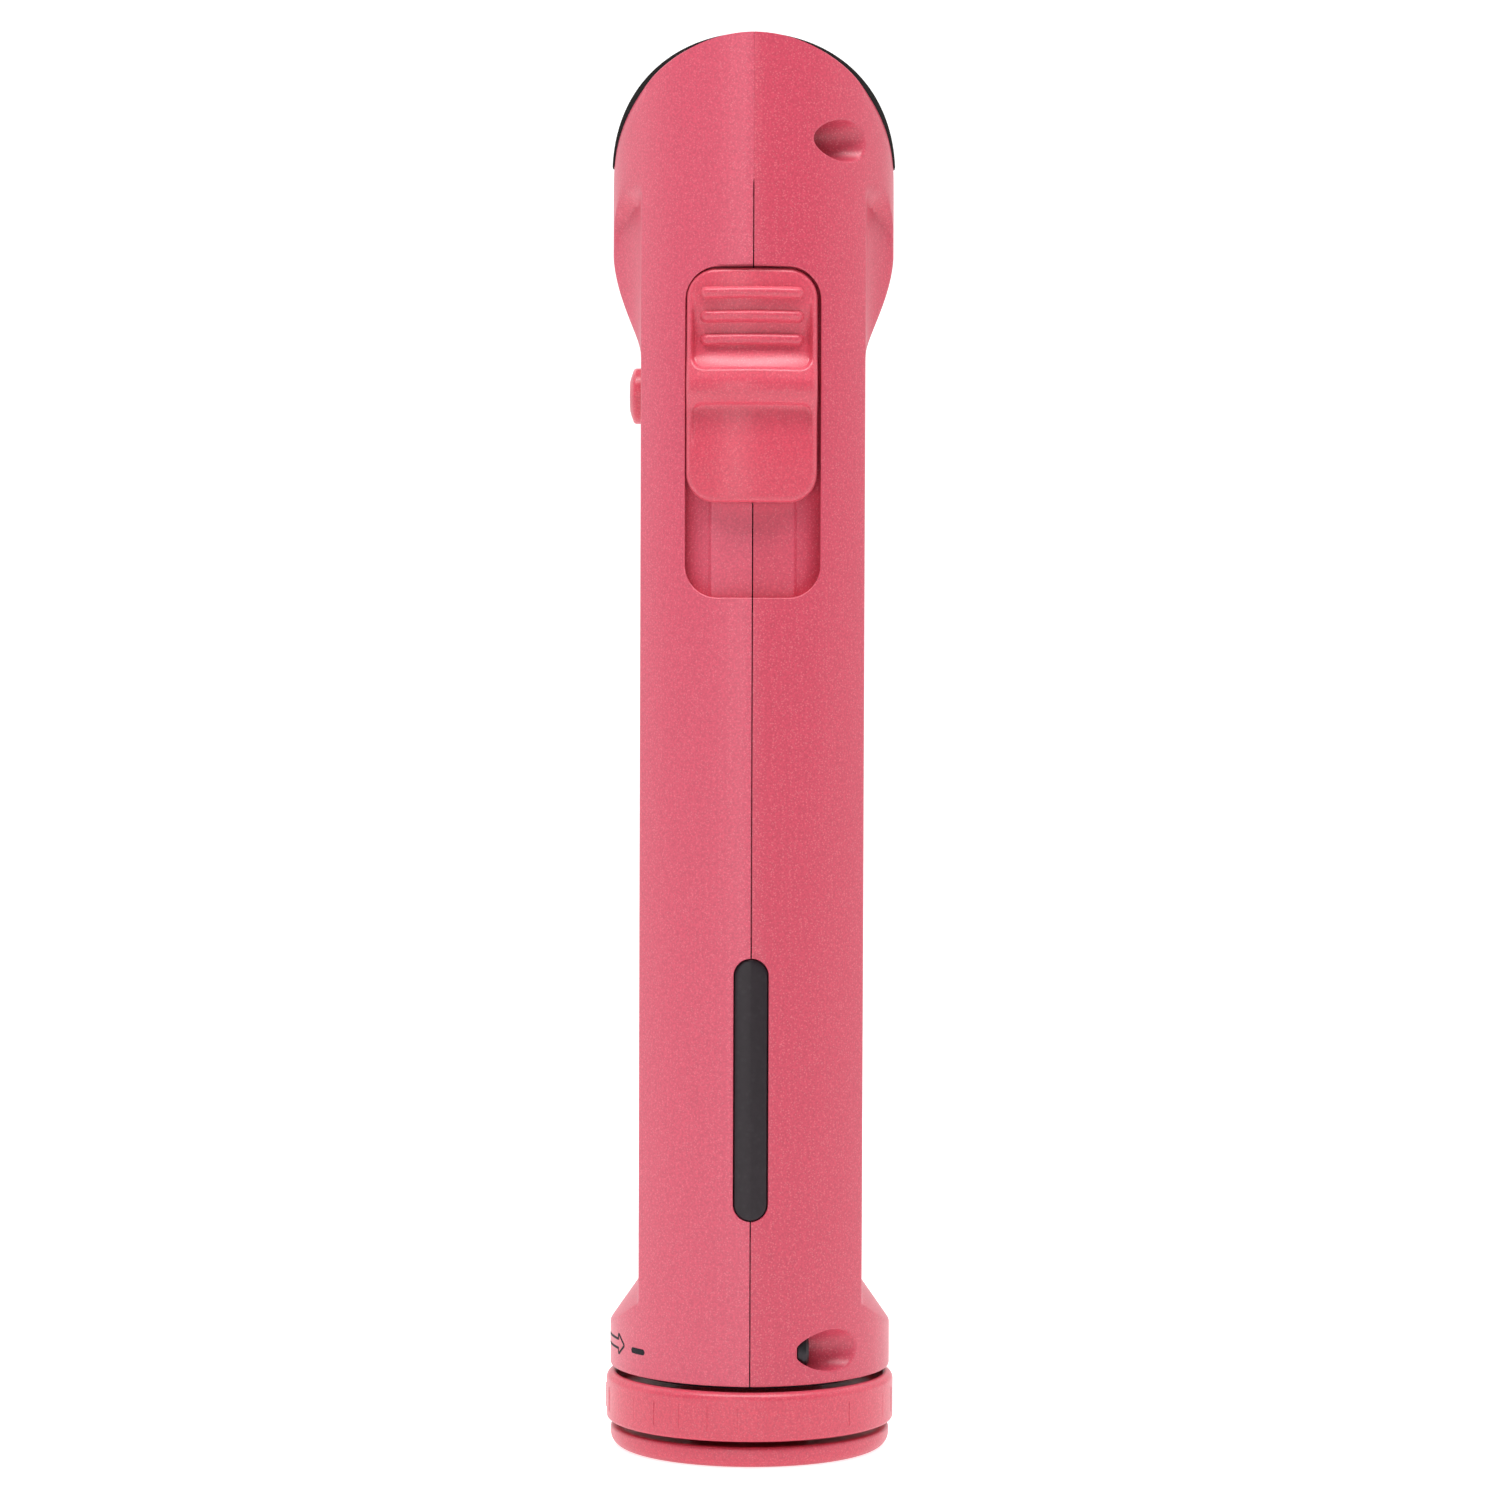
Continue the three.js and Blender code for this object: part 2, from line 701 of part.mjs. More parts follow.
function footDisc() {
  const low = 0.3;
  const edge = corner(footRadius - footEdge, low + footEdge, footEdge, -90, 0);
  const recess = padThickness + clearance;
  const top = [[footRadius, footThickness - 0.3], [footRadius - 0.3, footThickness]];
  const inside = [[insertRadius + clearance, footThickness], [insertRadius + clearance, recess]];
  const lip = [[padRadius + clearance, recess], [padRadius + clearance, low]];
  return turned(closed([...edge, ...top, ...inside, ...lip]));
}

function footPad() {
  const inner = insertRadius + 2;
  const outer = [[padRadius, 0], [padRadius, padThickness]];
  return turned(closed([[inner, 0], ...outer, [inner, padThickness]]), medium);
}

function tripodInsert() {
  const outer = [[insertRadius, 0.4], [insertRadius, 0.4 + insertHeight]];
  const inner = [[tripodHole, 0.4 + insertHeight], [tripodHole, 0.9], [tripodHole + 0.5, 0.4]];
  return turned(closed([...outer, ...inner]), medium);
}

const insertTop = 0.4 + insertHeight + clearance;
const hubHigh = insertTop + 0.9;
const bearingLow = ringHigh + clearance;
const bearingHigh = bearingLow + bearingThickness;
const washerLow = bearingHigh + clearance;
const nutLow = washerLow + washerThickness + clearance;

function spindle() {
  const bore = insertRadius + clearance;
  const high = nutLow + nutHeight + 0.6;
  const low = footThickness + clearance;
  const hub = [[bore, low], [hubRadius, low], [hubRadius, hubHigh]];
  const shank = [[spindleRadius, hubHigh], [spindleRadius, high], [spindleBore, high]];
  const inside = [[spindleBore, insertTop], [bore, insertTop]];
  return turned(closed([...hub, ...shank, ...inside]), medium);
}

function lockRing() {
  const wide = hubRadius + clearance;
  const narrow = spindleRadius + clearance;
  const step = hubHigh + clearance;
  const lower = corner(ringRadius - ringEdge, ringLow + ringEdge, ringEdge, -90, 0);
  const upper = corner(ringRadius - ringEdge, ringHigh - ringEdge, ringEdge, 0, 90);
  const inside = [[narrow, ringHigh], [narrow, step], [wide, step], [wide, ringLow]];
  return turned(closed([...lower, ...upper, ...inside]));
}

function bearingPlate() {
  const inner = spindleRadius + clearance;
  const outer = gripRadius - wall - clearance;
  const profile = [[inner, bearingLow], [outer, bearingLow], [outer, bearingHigh], [inner, bearingHigh]];
  let plate = turned(closed(profile), medium);
  for (const [y, z] of [screwPlaces.lower, screwPlaces.heel]) {
    plate = plate.subtract(rodX(recessRadius + recessWall + clearance, -40, 40, y, z));
  }
  return plate;
}

function thrustWasher() {
  const inner = spindleRadius + clearance;
  const high = washerLow + washerThickness;
  const outer = [[nutRadius, washerLow], [nutRadius, high]];
  return turned(closed([[inner, washerLow], ...outer, [inner, high]]), small);
}

function spindleNut() {
  const nut = rodZ(nutRadius, nutLow, nutLow + nutHeight, 0, 0, 6);
  const bore = rodZ(spindleRadius + clearance, nutLow - 1, nutLow + nutHeight + 1, 0, 0, small);
  return nut.subtract(bore);
}

// ---- Mast --------------------------------------------------------------------------------

// Bore and outer radius of stage n; stage 0 is the fixed guide tube.
function tubeRadii(stage) {
  if (stage === 0) return { bore: guideBore, outer: guideBore + guideWall };
  const outer = tubeRadii(stage - 1).bore - tubeFit;
  return { bore: outer - tubeWall, outer };
}

const guideHigh = shoulder - 2.6;
const stageBottom = (stage) => guideBase + 2 + stageStep * stage;

function guideTube() {
  const { bore, outer } = tubeRadii(0);
  const floor = guideBase + 1.5;
  const outside = [[0, guideBase], [outer, guideBase], [outer, guideHigh]];
  const profile = [...outside, [bore, guideHigh], [bore, floor], [0, floor]];
  const low = brakeZ - shoeHeight / 2 - clearance;
  const window = block(-4, 4, -mastY, 0, low, low + shoeHeight + 2 * clearance);
  return turned(profile, medium).subtract(window);
}

function mastCollar() {
  const { bore, outer } = tubeRadii(0);
  const wide = outer + 2.4;
  const high = shoulder + mouthRise;
  const flange = [[wide, shoulder + clearance], [wide, high - 0.6], [wide - 0.6, high]];
  const neck = [[bore, high], [bore, guideHigh + clearance], [outer, guideHigh + clearance]];
  const collar = turned(closed([...flange, ...neck, [outer, shoulder + clearance]]), medium);
  return collar.subtract(block(-20, 20, -40, headBack + clearance - mastY, shoulder, high + 1));
}

function mastTube(stage) {
  const { bore, outer } = tubeRadii(stage);
  const low = stageBottom(stage) + clearance;
  const high = stage === stageCount ? shoulder + mouthRise + 0.1 : shoulder - 3.4 + stage * 0.9;
  return turned(closed([[bore, low], [outer, low], [outer, high], [bore, high]]), medium);
}

function mastBush(stage) {
  const outer = tubeRadii(stage - 1).bore - clearance;
  const high = stageBottom(stage);
  const low = high - bushHeight;
  return turned(closed([[1.4, low], [outer, low], [outer, high], [1.4, high]]), small);
}

// ---- Tilt head and phone disc ------------------------------------------------------------

function mastKnuckle() {
  const low = shoulder + mouthRise + 0.1 + clearance;
  const base = rodZ(7, low, low + 1.2, 0, mastY);
  const plug = rodZ(tubeRadii(stageCount).bore - clearance, low - 12, low + 0.1, 0, mastY, small);
  const eye = rodX(knuckleRadius, -tongueHalf, tongueHalf, tiltY, tiltZ, small);
  const web = block(-tongueHalf, tongueHalf, mastY - 1, tiltY + 1.5, low, tiltZ - 1.5);
  const bore = rodX(pinRadius + clearance, -10, 10, tiltY, tiltZ);
  return base.add(plug).add(eye).add(web).subtract(bore);
}

const cheekInner = tongueHalf + clearance;
const cheekOuter = cheekInner + cheekThickness;

function tiltPin() {
  const half = cheekOuter + 0.4;
  return rodX(pinRadius, -half, half, tiltY, tiltZ);
}

function tiltArm() {
  const back = armFront + armThickness;
  const low = tiltZ + 0.6;
  const hub = rodY(8, armFront, back, 0, discZ, medium);
  const strap = block(-cheekOuter, cheekOuter, armFront, back, low, discZ);
  let arm = hub.add(strap);
  for (const side of [-1, 1]) {
    const left = side > 0 ? cheekInner : -cheekOuter;
    const right = left + cheekThickness;
    const eye = rodX(knuckleRadius, left, right, tiltY, tiltZ, small);
    arm = arm.add(eye).add(block(left, right, armFront, tiltY, low, tiltZ + knuckleRadius));
  }
  const pinBore = rodX(pinRadius + clearance, -10, 10, tiltY, tiltZ);
  return arm.subtract(pinBore).subtract(rodY(pivotRadius + clearance, 0, 20, 0, discZ));
}

// Turned about Y, from [radius, y] points, around the disc's centre.
function turnedY(profile, sides = 48) {
  const points = profile.map(([radius, y]) => new THREE.Vector2(radius, y));
  return solid(new THREE.LatheGeometry(points, sides));
}

function discBack() {
  const rear = discFront + discDepth;
  const floor = discFront + discWall;
  const edge = 1.4;
  const round = corner(discRadius - edge, discFront + edge, edge, -90, 0);
  const outer = [[pivotRadius + clearance, discFront], ...round, [discRadius, rear]];
  const inner = [[discRadius - 1.6, rear], [discRadius - 1.6, floor], [pivotRadius + clearance, floor]];
  return turnedY(closed([...outer, ...inner]));
}

function discPad() {
  const radius = discRadius - 1.6 - clearance;
  const front = discFront + discDepth - 1;
  const rear = discFront + discDepth + 0.9;
  return turnedY([[0, front], [radius, front], [radius, rear - 0.4], [radius - 0.4, rear], [0, rear]]);
}

function magnetRing() {
  const front = discFront + discWall + clearance;
  const rear = discFront + discDepth - 1 - clearance;
  const outer = [[magnetOuter, front], [magnetOuter, rear]];
  return turnedY(closed([[magnetInner, front], ...outer, [magnetInner, rear]]), medium);
}

function discScrew() {
  const seat = discFront + discWall + clearance;
  const tip = armFront + 0.4;
  const head = 4.6;
  const shank = [[0, tip], [pivotRadius, tip], [pivotRadius, seat]];
  return turnedY([...shank, [head, seat], [head, seat + 1.4], [0, seat + 1.4]], small);
}

// ---- Assembly ----------------------------------------------------------------------------

const finishes = {
  pinkLeft: { color: 0xdc5a70, roughness: 0.42, metalness: 0.05 },
  pinkRight: { color: 0xd05068, roughness: 0.42, metalness: 0.05 },
  pink: { color: 0xd6566c, roughness: 0.42, metalness: 0.05 },
  blackPlastic: { color: 0x1b1719, roughness: 0.5, metalness: 0 },
  rubber: { color: 0x141213, roughness: 0.85, metalness: 0 },
  smokedLens: { color: 0x362e35, roughness: 0.15, metalness: 0 },
  steel: { color: 0xb9bbc0, roughness: 0.3, metalness: 1 },
  brass: { color: 0xc2a14c, roughness: 0.35, metalness: 1 },
  board: { color: 0x1f5a3c, roughness: 0.6, metalness: 0 },
  cell: { color: 0x3a6ea5, roughness: 0.45, metalness: 0.1 },
  nylon: { color: 0xe6e2da, roughness: 0.6, metalness: 0 },
};

const stick = new THREE.Group();

function add(parent, name, made, finish, place = [0, 0, 0]) {
  const mesh = new THREE.Mesh(geometryOf(made), new THREE.MeshStandardMaterial(finishes[finish]));
  mesh.name = name;
  mesh.position.set(...place);
  parent.add(mesh);
  return mesh;
}

const grip = new THREE.Group();
stick.add(grip);
add(grip, "left_shell", shell(-1), "pinkLeft");
add(grip, "right_shell", shell(1), "pinkRight");
for (const [name, [y, z]] of Object.entries(screwPlaces)) {
  add(grip, `case_screw_${name}`, caseScrew(), "steel", [recessFloor + clearance, y, z]);
}
add(grip, "head_bumper", headBumper(), "rubber");
add(grip, "head_back_plate", headBackPlate(), "blackPlastic");
add(grip, "window_lens", windowLens(), "smokedLens");
add(grip, "light_board", lightBoard(), "board");
add(grip, "battery_cell", batteryCell(), "cell", [0, cellY, 0]);
add(grip, "battery_cradle", batteryCradle(), "blackPlastic");
add(grip, "main_board", mainBoard(), "board");
add(grip, "charging_socket", chargingSocket(), "steel");
add(grip, "shutter_switch", shutterSwitch(), "blackPlastic", [0, buttonY, buttonZ]);
add(grip, "brake_guide", brakeGuide(), "nylon");
add(grip, "bearing_plate", bearingPlate(), "blackPlastic");
add(grip, "thrust_washer", thrustWasher(), "nylon");

const thumbLock = new THREE.Group();
stick.add(thumbLock);
add(thumbLock, "thumb_slider", thumbSlider(), "pink");
add(thumbLock, "slider_plate", sliderPlate(), "nylon");
add(thumbLock, "slider_screw", sliderScrew(), "steel");

const brake = new THREE.Group();
stick.add(brake);
add(brake, "brake_shoe", brakeShoe(), "nylon");
add(brake, "brake_pad", brakePad(), "rubber");
const pinHalf = finInner + finThickness + 0.8;
add(brake, "brake_pin", rodX(brakePinRadius, -pinHalf, pinHalf, brakePinY, brakeZ), "steel");

add(stick, "shutter_button", shutterButton(), "pink", [0, buttonY, buttonZ]);
add(stick, "lock_ring", lockRing(), "pink");

const foot = new THREE.Group();
stick.add(foot);
add(foot, "foot_disc", footDisc(), "pink");
add(foot, "foot_pad", footPad(), "rubber");
add(foot, "tripod_insert", tripodInsert(), "brass");
add(foot, "spindle", spindle(), "blackPlastic");
add(foot, "spindle_nut", spindleNut(), "steel");

const mast = new THREE.Group();
mast.position.y = mastY;
stick.add(mast);
add(mast, "guide_tube", guideTube(), "blackPlastic");
add(mast, "mast_collar", mastCollar(), "blackPlastic");
for (let stage = 1; stage <= stageCount; stage++) {
  add(mast, `mast_tube_${stage}`, mastTube(stage), "steel");
  add(mast, `mast_bush_${stage}`, mastBush(stage), "nylon");
}
add(stick, "mast_knuckle", mastKnuckle(), "blackPlastic");
add(stick, "tilt_pin", tiltPin(), "steel");
add(stick, "tilt_arm", tiltArm(), "blackPlastic");

const disc = new THREE.Group();
disc.position.z = discZ;
stick.add(disc);
add(disc, "disc_back", discBack(), "pink");
add(disc, "disc_pad", discPad(), "rubber");
add(disc, "magnet_ring", magnetRing(), "steel");
add(disc, "disc_screw", discScrew(), "steel");

export default stick;
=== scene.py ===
import math

import bmesh
import bpy
import numpy as np
from mathutils import Matrix, Vector


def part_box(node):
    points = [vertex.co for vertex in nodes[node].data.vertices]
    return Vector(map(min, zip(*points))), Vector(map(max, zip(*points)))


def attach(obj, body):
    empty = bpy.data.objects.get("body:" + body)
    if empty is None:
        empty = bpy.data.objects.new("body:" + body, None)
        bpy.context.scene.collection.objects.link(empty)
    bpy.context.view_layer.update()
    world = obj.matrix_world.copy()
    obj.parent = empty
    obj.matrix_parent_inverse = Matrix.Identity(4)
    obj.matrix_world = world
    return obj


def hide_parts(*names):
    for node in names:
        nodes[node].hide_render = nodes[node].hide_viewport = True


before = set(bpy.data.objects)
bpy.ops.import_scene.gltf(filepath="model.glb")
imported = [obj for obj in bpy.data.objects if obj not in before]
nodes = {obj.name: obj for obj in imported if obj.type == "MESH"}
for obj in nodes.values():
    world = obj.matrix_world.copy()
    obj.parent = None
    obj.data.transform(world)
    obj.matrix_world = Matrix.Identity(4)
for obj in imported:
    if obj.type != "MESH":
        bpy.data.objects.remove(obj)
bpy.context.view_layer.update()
mm = 0.001  # shapes below are written in millimetres
print("model loaded")


def edges(node):
    low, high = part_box(node)
    return np.array(low) / mm, np.array(high) / mm


# sizes read from the model
shellLow, shellHigh = edges("right_shell")
sliderLow, sliderHigh = edges("thumb_slider")
lensLow, lensHigh = edges("window_lens")
ringLow, ringHigh = edges("lock_ring")
footHigh = edges("foot_disc")[1]
buttonLow, buttonHigh = edges("shutter_button")
collarLow, collarHigh = edges("mast_collar")
discLow, discHigh = edges("disc_back")
padLow, padHigh = edges("disc_pad")
pinLow, pinHigh = edges("tilt_pin")
socketLow, socketHigh = edges("charging_socket")
topZ = shellHigh[2]
discZ = (discLow[2] + discHigh[2]) / 2
mastY = sum(corner[1] for corner in edges("mast_tube_1")) / 2

grip = {
    "radius": 22.9,
    "flatHalf": 18.0,
    "wall": 2.0,
    "crease": 1.15,
    "headHalf": 22.95,
    "domeHeight": 20.0,
    "backY": 2.5,
    "neckDrop": 51.0,
    "neckLength": 19.5,
    "shoulderDrop": 55.6,
    "scoopRadius": 14.8,
    "scoopForward": 12.0,
    "scoopDrop": 31.2,
    "scoopEnd": 7.4,
    "scoopFade": 0.9,
    "archForward": 14.0,
    "archHalf": 12.3,
    "flareRise": 14.2,
    "flareBend": 52.0,
    "flareSlope": 0.7,
    "seam": 0.1,
    "seamAbove": 0.012,
    "seamDrop": 23.5,
}
neckLow = topZ - grip["neckDrop"]
neckHigh = neckLow + grip["neckLength"]
domeBase = topZ - grip["domeHeight"]
shoulder = topZ - grip["shoulderDrop"]
scoopTop = topZ - grip["scoopDrop"]
flareHigh = shellLow[2] + grip["flareRise"]


# mesh helpers
def makeObject(name, points, faces):
    mesh = bpy.data.meshes.new(name)
    mesh.from_pydata([tuple(float(v) * mm for v in p) for p in points], [], faces)
    made = bpy.data.objects.new(name, mesh)
    bpy.context.scene.collection.objects.link(made)
    work = bmesh.new()
    work.from_mesh(mesh)
    bmesh.ops.remove_doubles(work, verts=work.verts, dist=1e-7)
    bmesh.ops.dissolve_degenerate(work, edges=work.edges, dist=1e-7)
    bmesh.ops.recalc_face_normals(work, faces=work.faces)
    if work.calc_volume(signed=True) < 0:
        bmesh.ops.reverse_faces(work, faces=work.faces)
    work.to_mesh(mesh)
    work.free()
    return made


def gridFaces(rows, columns, start=0, roundColumns=False, roundRows=False):
    faces = []
    for i in range(rows if roundRows else rows - 1):
        for j in range(columns if roundColumns else columns - 1):
            below, above = start + i * columns, start + (i + 1) % rows * columns
            right = (j + 1) % columns
            faces.append((below + j, below + right, above + right, above + j))
    return faces


def loft(name, rings):  # rings from one end to the other, with both ends capped
    count, rows = len(rings[0]), len(rings)
    faces = gridFaces(rows, count, roundColumns=True)
    faces.append(tuple(range(count)))
    faces.append(tuple(range((rows - 1) * count, rows * count)))
    return makeObject(name, np.concatenate(rings), faces)


def spread(axis, a, b, along):  # plane coordinates a, b and a place along the axis as points
    along = np.broadcast_to(along, np.shape(a))
    order = {"x": (along, a, b), "y": (a, along, b), "z": (a, b, along)}[axis]
    return np.stack(order, axis=-1)


def lathe(name, profile, sides=96, axis="z", centre=(0, 0), shut=True):
    profile = np.asarray(profile, float)
    rings = []
    for turn in np.linspace(0, 2 * math.pi, sides, endpoint=False):
        a = centre[0] + profile[:, 0] * math.cos(turn)
        b = centre[1] + profile[:, 0] * math.sin(turn)
        rings.append(spread(axis, a, b, profile[:, 1]))
    count = len(profile)
    faces = gridFaces(sides, count, roundColumns=shut, roundRows=True)
    return makeObject(name, np.concatenate(rings), faces)


def rounded(points, radius, steps=4, shut=True):  # a path with its corners made round
    points = [np.array(p[:2], float) for p in points]
    radii = [radius] * len(points) if np.isscalar(radius) else list(radius)
    made = []
    for i, here in enumerate(points):
        if not shut and i in (0, len(points) - 1) or radii[i] <= 0:
            made.append(here)
            continue
        before, after = points[i - 1] - here, points[(i + 1) % len(points)] - here
        lengths = np.linalg.norm(before), np.linalg.norm(after)
        before, after = before / lengths[0], after / lengths[1]
        half = math.acos(max(-1, min(1, float(before @ after)))) / 2
        reach = min(radii[i] / math.tan(half), 0.49 * min(lengths))
        size = reach * math.tan(half)
        bisector = (before + after) / np.linalg.norm(before + after)
        middle = here + bisector * size / math.sin(half)
        start, end = here + before * reach - middle, here + after * reach - middle
        sweep = math.pi - 2 * half
        for k in range(steps + 1):
            share = k / steps
            mix = math.sin((1 - share) * sweep) * start + math.sin(share * sweep) * end
            made.append(middle + mix / math.sin(sweep))
    return np.array(made)


def boxPath(left, right, low, high):
    return [(left, low), (right, low), (right, high), (left, high)]


def stadium(half, low, high, steps=20):
    top, bottom = np.linspace(0, math.pi, steps), np.linspace(math.pi, 2 * math.pi, steps)
    ends = ((top, high - half), (bottom, low + half))
    turns = [(half * np.cos(t), end + half * np.sin(t)) for t, end in ends]
    return np.concatenate([np.stack(turn, axis=-1) for turn in turns])


def grown(path, amount):  # a closed path moved outwards
    ahead, behind = np.roll(path, -1, axis=0), np.roll(path, 1, axis=0)
    forward, backward = ahead - path, path - behind
    normals = []
    for step in (forward, backward):
        size = np.maximum(np.linalg.norm(step, axis=1, keepdims=True), 1e-9)
        normals.append(np.stack([step[:, 1], -step[:, 0]], axis=-1) / size)
    normal = normals[0] + normals[1]
    squared = np.maximum((normal * normal).sum(axis=1, keepdims=True), 0.5)
    area = (path[:, 0] * ahead[:, 1] - path[:, 1] * ahead[:, 0]).sum()
    return path + np.sign(area) * amount * 2 * normal / squared


def prism(name, path, axis, low, high, edge=0.3, steps=3):  # a plate with rounded rims
    rings = []
    turns = np.linspace(0, math.pi / 2, steps + 1)
    for end, sign, order in ((low, 1, turns), (high, -1, turns[::-1])):
        for turn in order:
            ring = grown(path, -edge * (1 - math.sin(turn)))
            along = end + sign * edge * (1 - math.cos(turn))
            rings.append(spread(axis, ring[:, 0], ring[:, 1], along))
    return loft(name, rings)


def bake(target):
    graph = bpy.context.evaluated_depsgraph_get()
    fresh = bpy.data.meshes.new_from_object(target.evaluated_get(graph))
    target.modifiers.clear()
    target.data = fresh
    return target


def cut(target, tool, operation="DIFFERENCE"):
    step = target.modifiers.new("cut", "BOOLEAN")
    step.operation = operation
    step.solver = "EXACT"
    step.object = tool
    bake(target)
    bpy.data.objects.remove(tool)
    return target


def joined(first, *others):
    work = bmesh.new()
    work.from_mesh(first.data)
    for other in others:
        work.from_mesh(other.data)
        bpy.data.objects.remove(other)
    work.to_mesh(first.data)
    work.free()
    return first


def dress(piece, body, material, replaced=(), angle=34):
    piece.data.materials.clear()
    piece.data.materials.append(material)
    piece.data.shade_smooth()
    piece.data.set_sharp_from_angle(angle=math.radians(angle))
    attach(piece, body)
    if replaced:
        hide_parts(*replaced)
    return piece


# shader groups
def newGroup(name, inputs, outputs):
    tree = bpy.data.node_groups.new(name, "ShaderNodeTree")
    for label, value in inputs:
        socket = tree.interface.new_socket(name=label, in_out="INPUT", socket_type="NodeSocketFloat")
        socket.default_value = value
    for label in outputs:
        tree.interface.new_socket(name=label, in_out="OUTPUT", socket_type="NodeSocketFloat")
    start = tree.nodes.new("NodeGroupInput")
    end = tree.nodes.new("NodeGroupOutput")
    return tree, start, end


def mathNode(tree, operation, a, b=None, clamp=False):
    node = tree.nodes.new("ShaderNodeMath")
    node.operation = operation
    node.use_clamp = clamp
    for slot, value in enumerate((a, b)):
        if value is None:
            continue
        if isinstance(value, (int, float)):
            node.inputs[slot].default_value = value
        else:
            tree.links.new(value, node.inputs[slot])
    return node.outputs[0]


def noiseOf(tree, scale, detail=2.0, stretch=None):
    place = tree.nodes.new("ShaderNodeTexCoord").outputs["Object"]
    if stretch:
        mapping = tree.nodes.new("ShaderNodeMapping")
        mapping.inputs["Scale"].default_value = stretch
        tree.links.new(place, mapping.inputs["Vector"])
        place = mapping.outputs["Vector"]
    noise = tree.nodes.new("ShaderNodeTexNoise")
    noise.inputs["Detail"].default_value = detail
    tree.links.new(place, noise.inputs["Vector"])
    if isinstance(scale, (int, float)):
        noise.inputs["Scale"].default_value = scale
    else:
        tree.links.new(scale, noise.inputs["Scale"])
    return noise.outputs["Fac"]


def mouldGrainGroup():  # spark-eroded mould texture: a fine pitted height, bright flecks, slow clouding
    results = ["Height", "Flecks", "Cloud", "Speck"]
    tree, start, end = newGroup("mouldGrain", [("Pitch", 2600.0), ("Fleck", 0.5)], results)
    fine = noiseOf(tree, start.outputs["Pitch"], 3.0)
    place = tree.nodes.new("ShaderNodeTexCoord").outputs["Object"]
    cells = tree.nodes.new("ShaderNodeTexVoronoi")
    tree.links.new(place, cells.inputs["Vector"])
    tree.links.new(start.outputs["Pitch"], cells.inputs["Scale"])
    near = mathNode(tree, "SUBTRACT", 0.42, cells.outputs["Distance"])
    rare = mathNode(tree, "GREATER_THAN", cells.outputs["Color"], 0.4)
    spots = mathNode(tree, "MULTIPLY", mathNode(tree, "MULTIPLY", near, 3.2, clamp=True), rare)
    flecks = mathNode(tree, "MULTIPLY", spots, start.outputs["Fleck"])
    pits, rises = mathNode(tree, "MULTIPLY", fine, 0.8), mathNode(tree, "MULTIPLY", spots, 0.25)
    height = mathNode(tree, "ADD", pits, rises)
    speck = tree.nodes.new("ShaderNodeMapRange")
    speck.inputs["From Min"].default_value = 0.36
    speck.inputs["From Max"].default_value = 0.64
    tree.links.new(fine, speck.inputs["Value"])
    tree.links.new(speck.outputs["Result"], end.inputs["Speck"])
    cloud = noiseOf(tree, 55.0, 3.0)
    tree.links.new(height, end.inputs["Height"])
    tree.links.new(flecks, end.inputs["Flecks"])
    tree.links.new(cloud, end.inputs["Cloud"])
    return tree


def brushingGroup():  # drawn or turned metal: streaks along one axis
    tree, start, end = newGroup("brushing", [("Streak", 1.0)], ["Height", "Streaks"])
    lines = noiseOf(tree, 1.0, 4.0, stretch=(9000, 9000, 160))
    tree.links.new(mathNode(tree, "MULTIPLY", lines, start.outputs["Streak"]), end.inputs["Height"])
    tree.links.new(lines, end.inputs["Streaks"])
    return tree


mouldGrain = mouldGrainGroup()
brushing = brushingGroup()


def startMaterial(name, color, roughness, metallic=0.0, coat=0.0, specular=0.5):
    material = bpy.data.materials.new(name)
    material.use_nodes = True
    tree = material.node_tree
    shader = tree.nodes["Principled BSDF"]
    shader.inputs["Base Color"].default_value = (*color, 1)
    shader.inputs["Roughness"].default_value = roughness
    shader.inputs["Metallic"].default_value = metallic
    shader.inputs["Coat Weight"].default_value = coat
    shader.inputs["Specular IOR Level"].default_value = specular
    return material, tree, shader


def placeGroup(tree, group, **values):
    node = tree.nodes.new("ShaderNodeGroup")
    node.node_tree = group
    for label, value in values.items():
        node.inputs[label].default_value = value
    return node


def blendColor(tree, factor, first, second):
    mix = tree.nodes.new("ShaderNodeMix")
    mix.data_type = "RGBA"
    tree.links.new(factor, mix.inputs["Factor"])
    for socket, value in ((mix.inputs[6], first), (mix.inputs[7], second)):
        if isinstance(value, tuple):
            socket.default_value = (*value, 1)
        else:
            tree.links.new(value, socket)
    return mix.outputs[2]


def rangeOf(tree, value, low, high):
    node = tree.nodes.new("ShaderNodeMapRange")
    node.inputs["To Min"].default_value = low
    node.inputs["To Max"].default_value = high
    tree.links.new(value, node.inputs["Value"])
    return node.outputs["Result"]


def bumpFrom(tree, shader, height, depth, strength):
    bump = tree.nodes.new("ShaderNodeBump")
    bump.inputs["Distance"].default_value = depth * mm
    bump.inputs["Strength"].default_value = strength
    tree.links.new(height, bump.inputs["Height"])
    tree.links.new(bump.outputs["Normal"], shader.inputs["Normal"])


def mouldedPlastic(name, look):
    material, tree, shader = startMaterial(name, look["color"], look["roughness"], specular=look["specular"])
    grain = placeGroup(tree, mouldGrain, Pitch=look["pitch"], Fleck=look["fleck"])
    deep = tuple(c * look["cloud"] for c in look["color"])
    clouded = blendColor(tree, grain.outputs["Cloud"], look["color"], deep)
    pitted = tuple(c * look["pit"] for c in look["color"])
    clouded = blendColor(tree, grain.outputs["Speck"], pitted, clouded)
    flecked = blendColor(tree, grain.outputs["Flecks"], clouded, look["fleckColor"])
    tree.links.new(flecked, shader.inputs["Base Color"])
    swing = look["roughness"] * 0.12
    rough = rangeOf(tree, grain.outputs["Cloud"], look["roughness"] - swing, look["roughness"] + swing)
    tree.links.new(rough, shader.inputs["Roughness"])
    bumpFrom(tree, shader, grain.outputs["Height"], look["depth"], look["strength"])
    return material


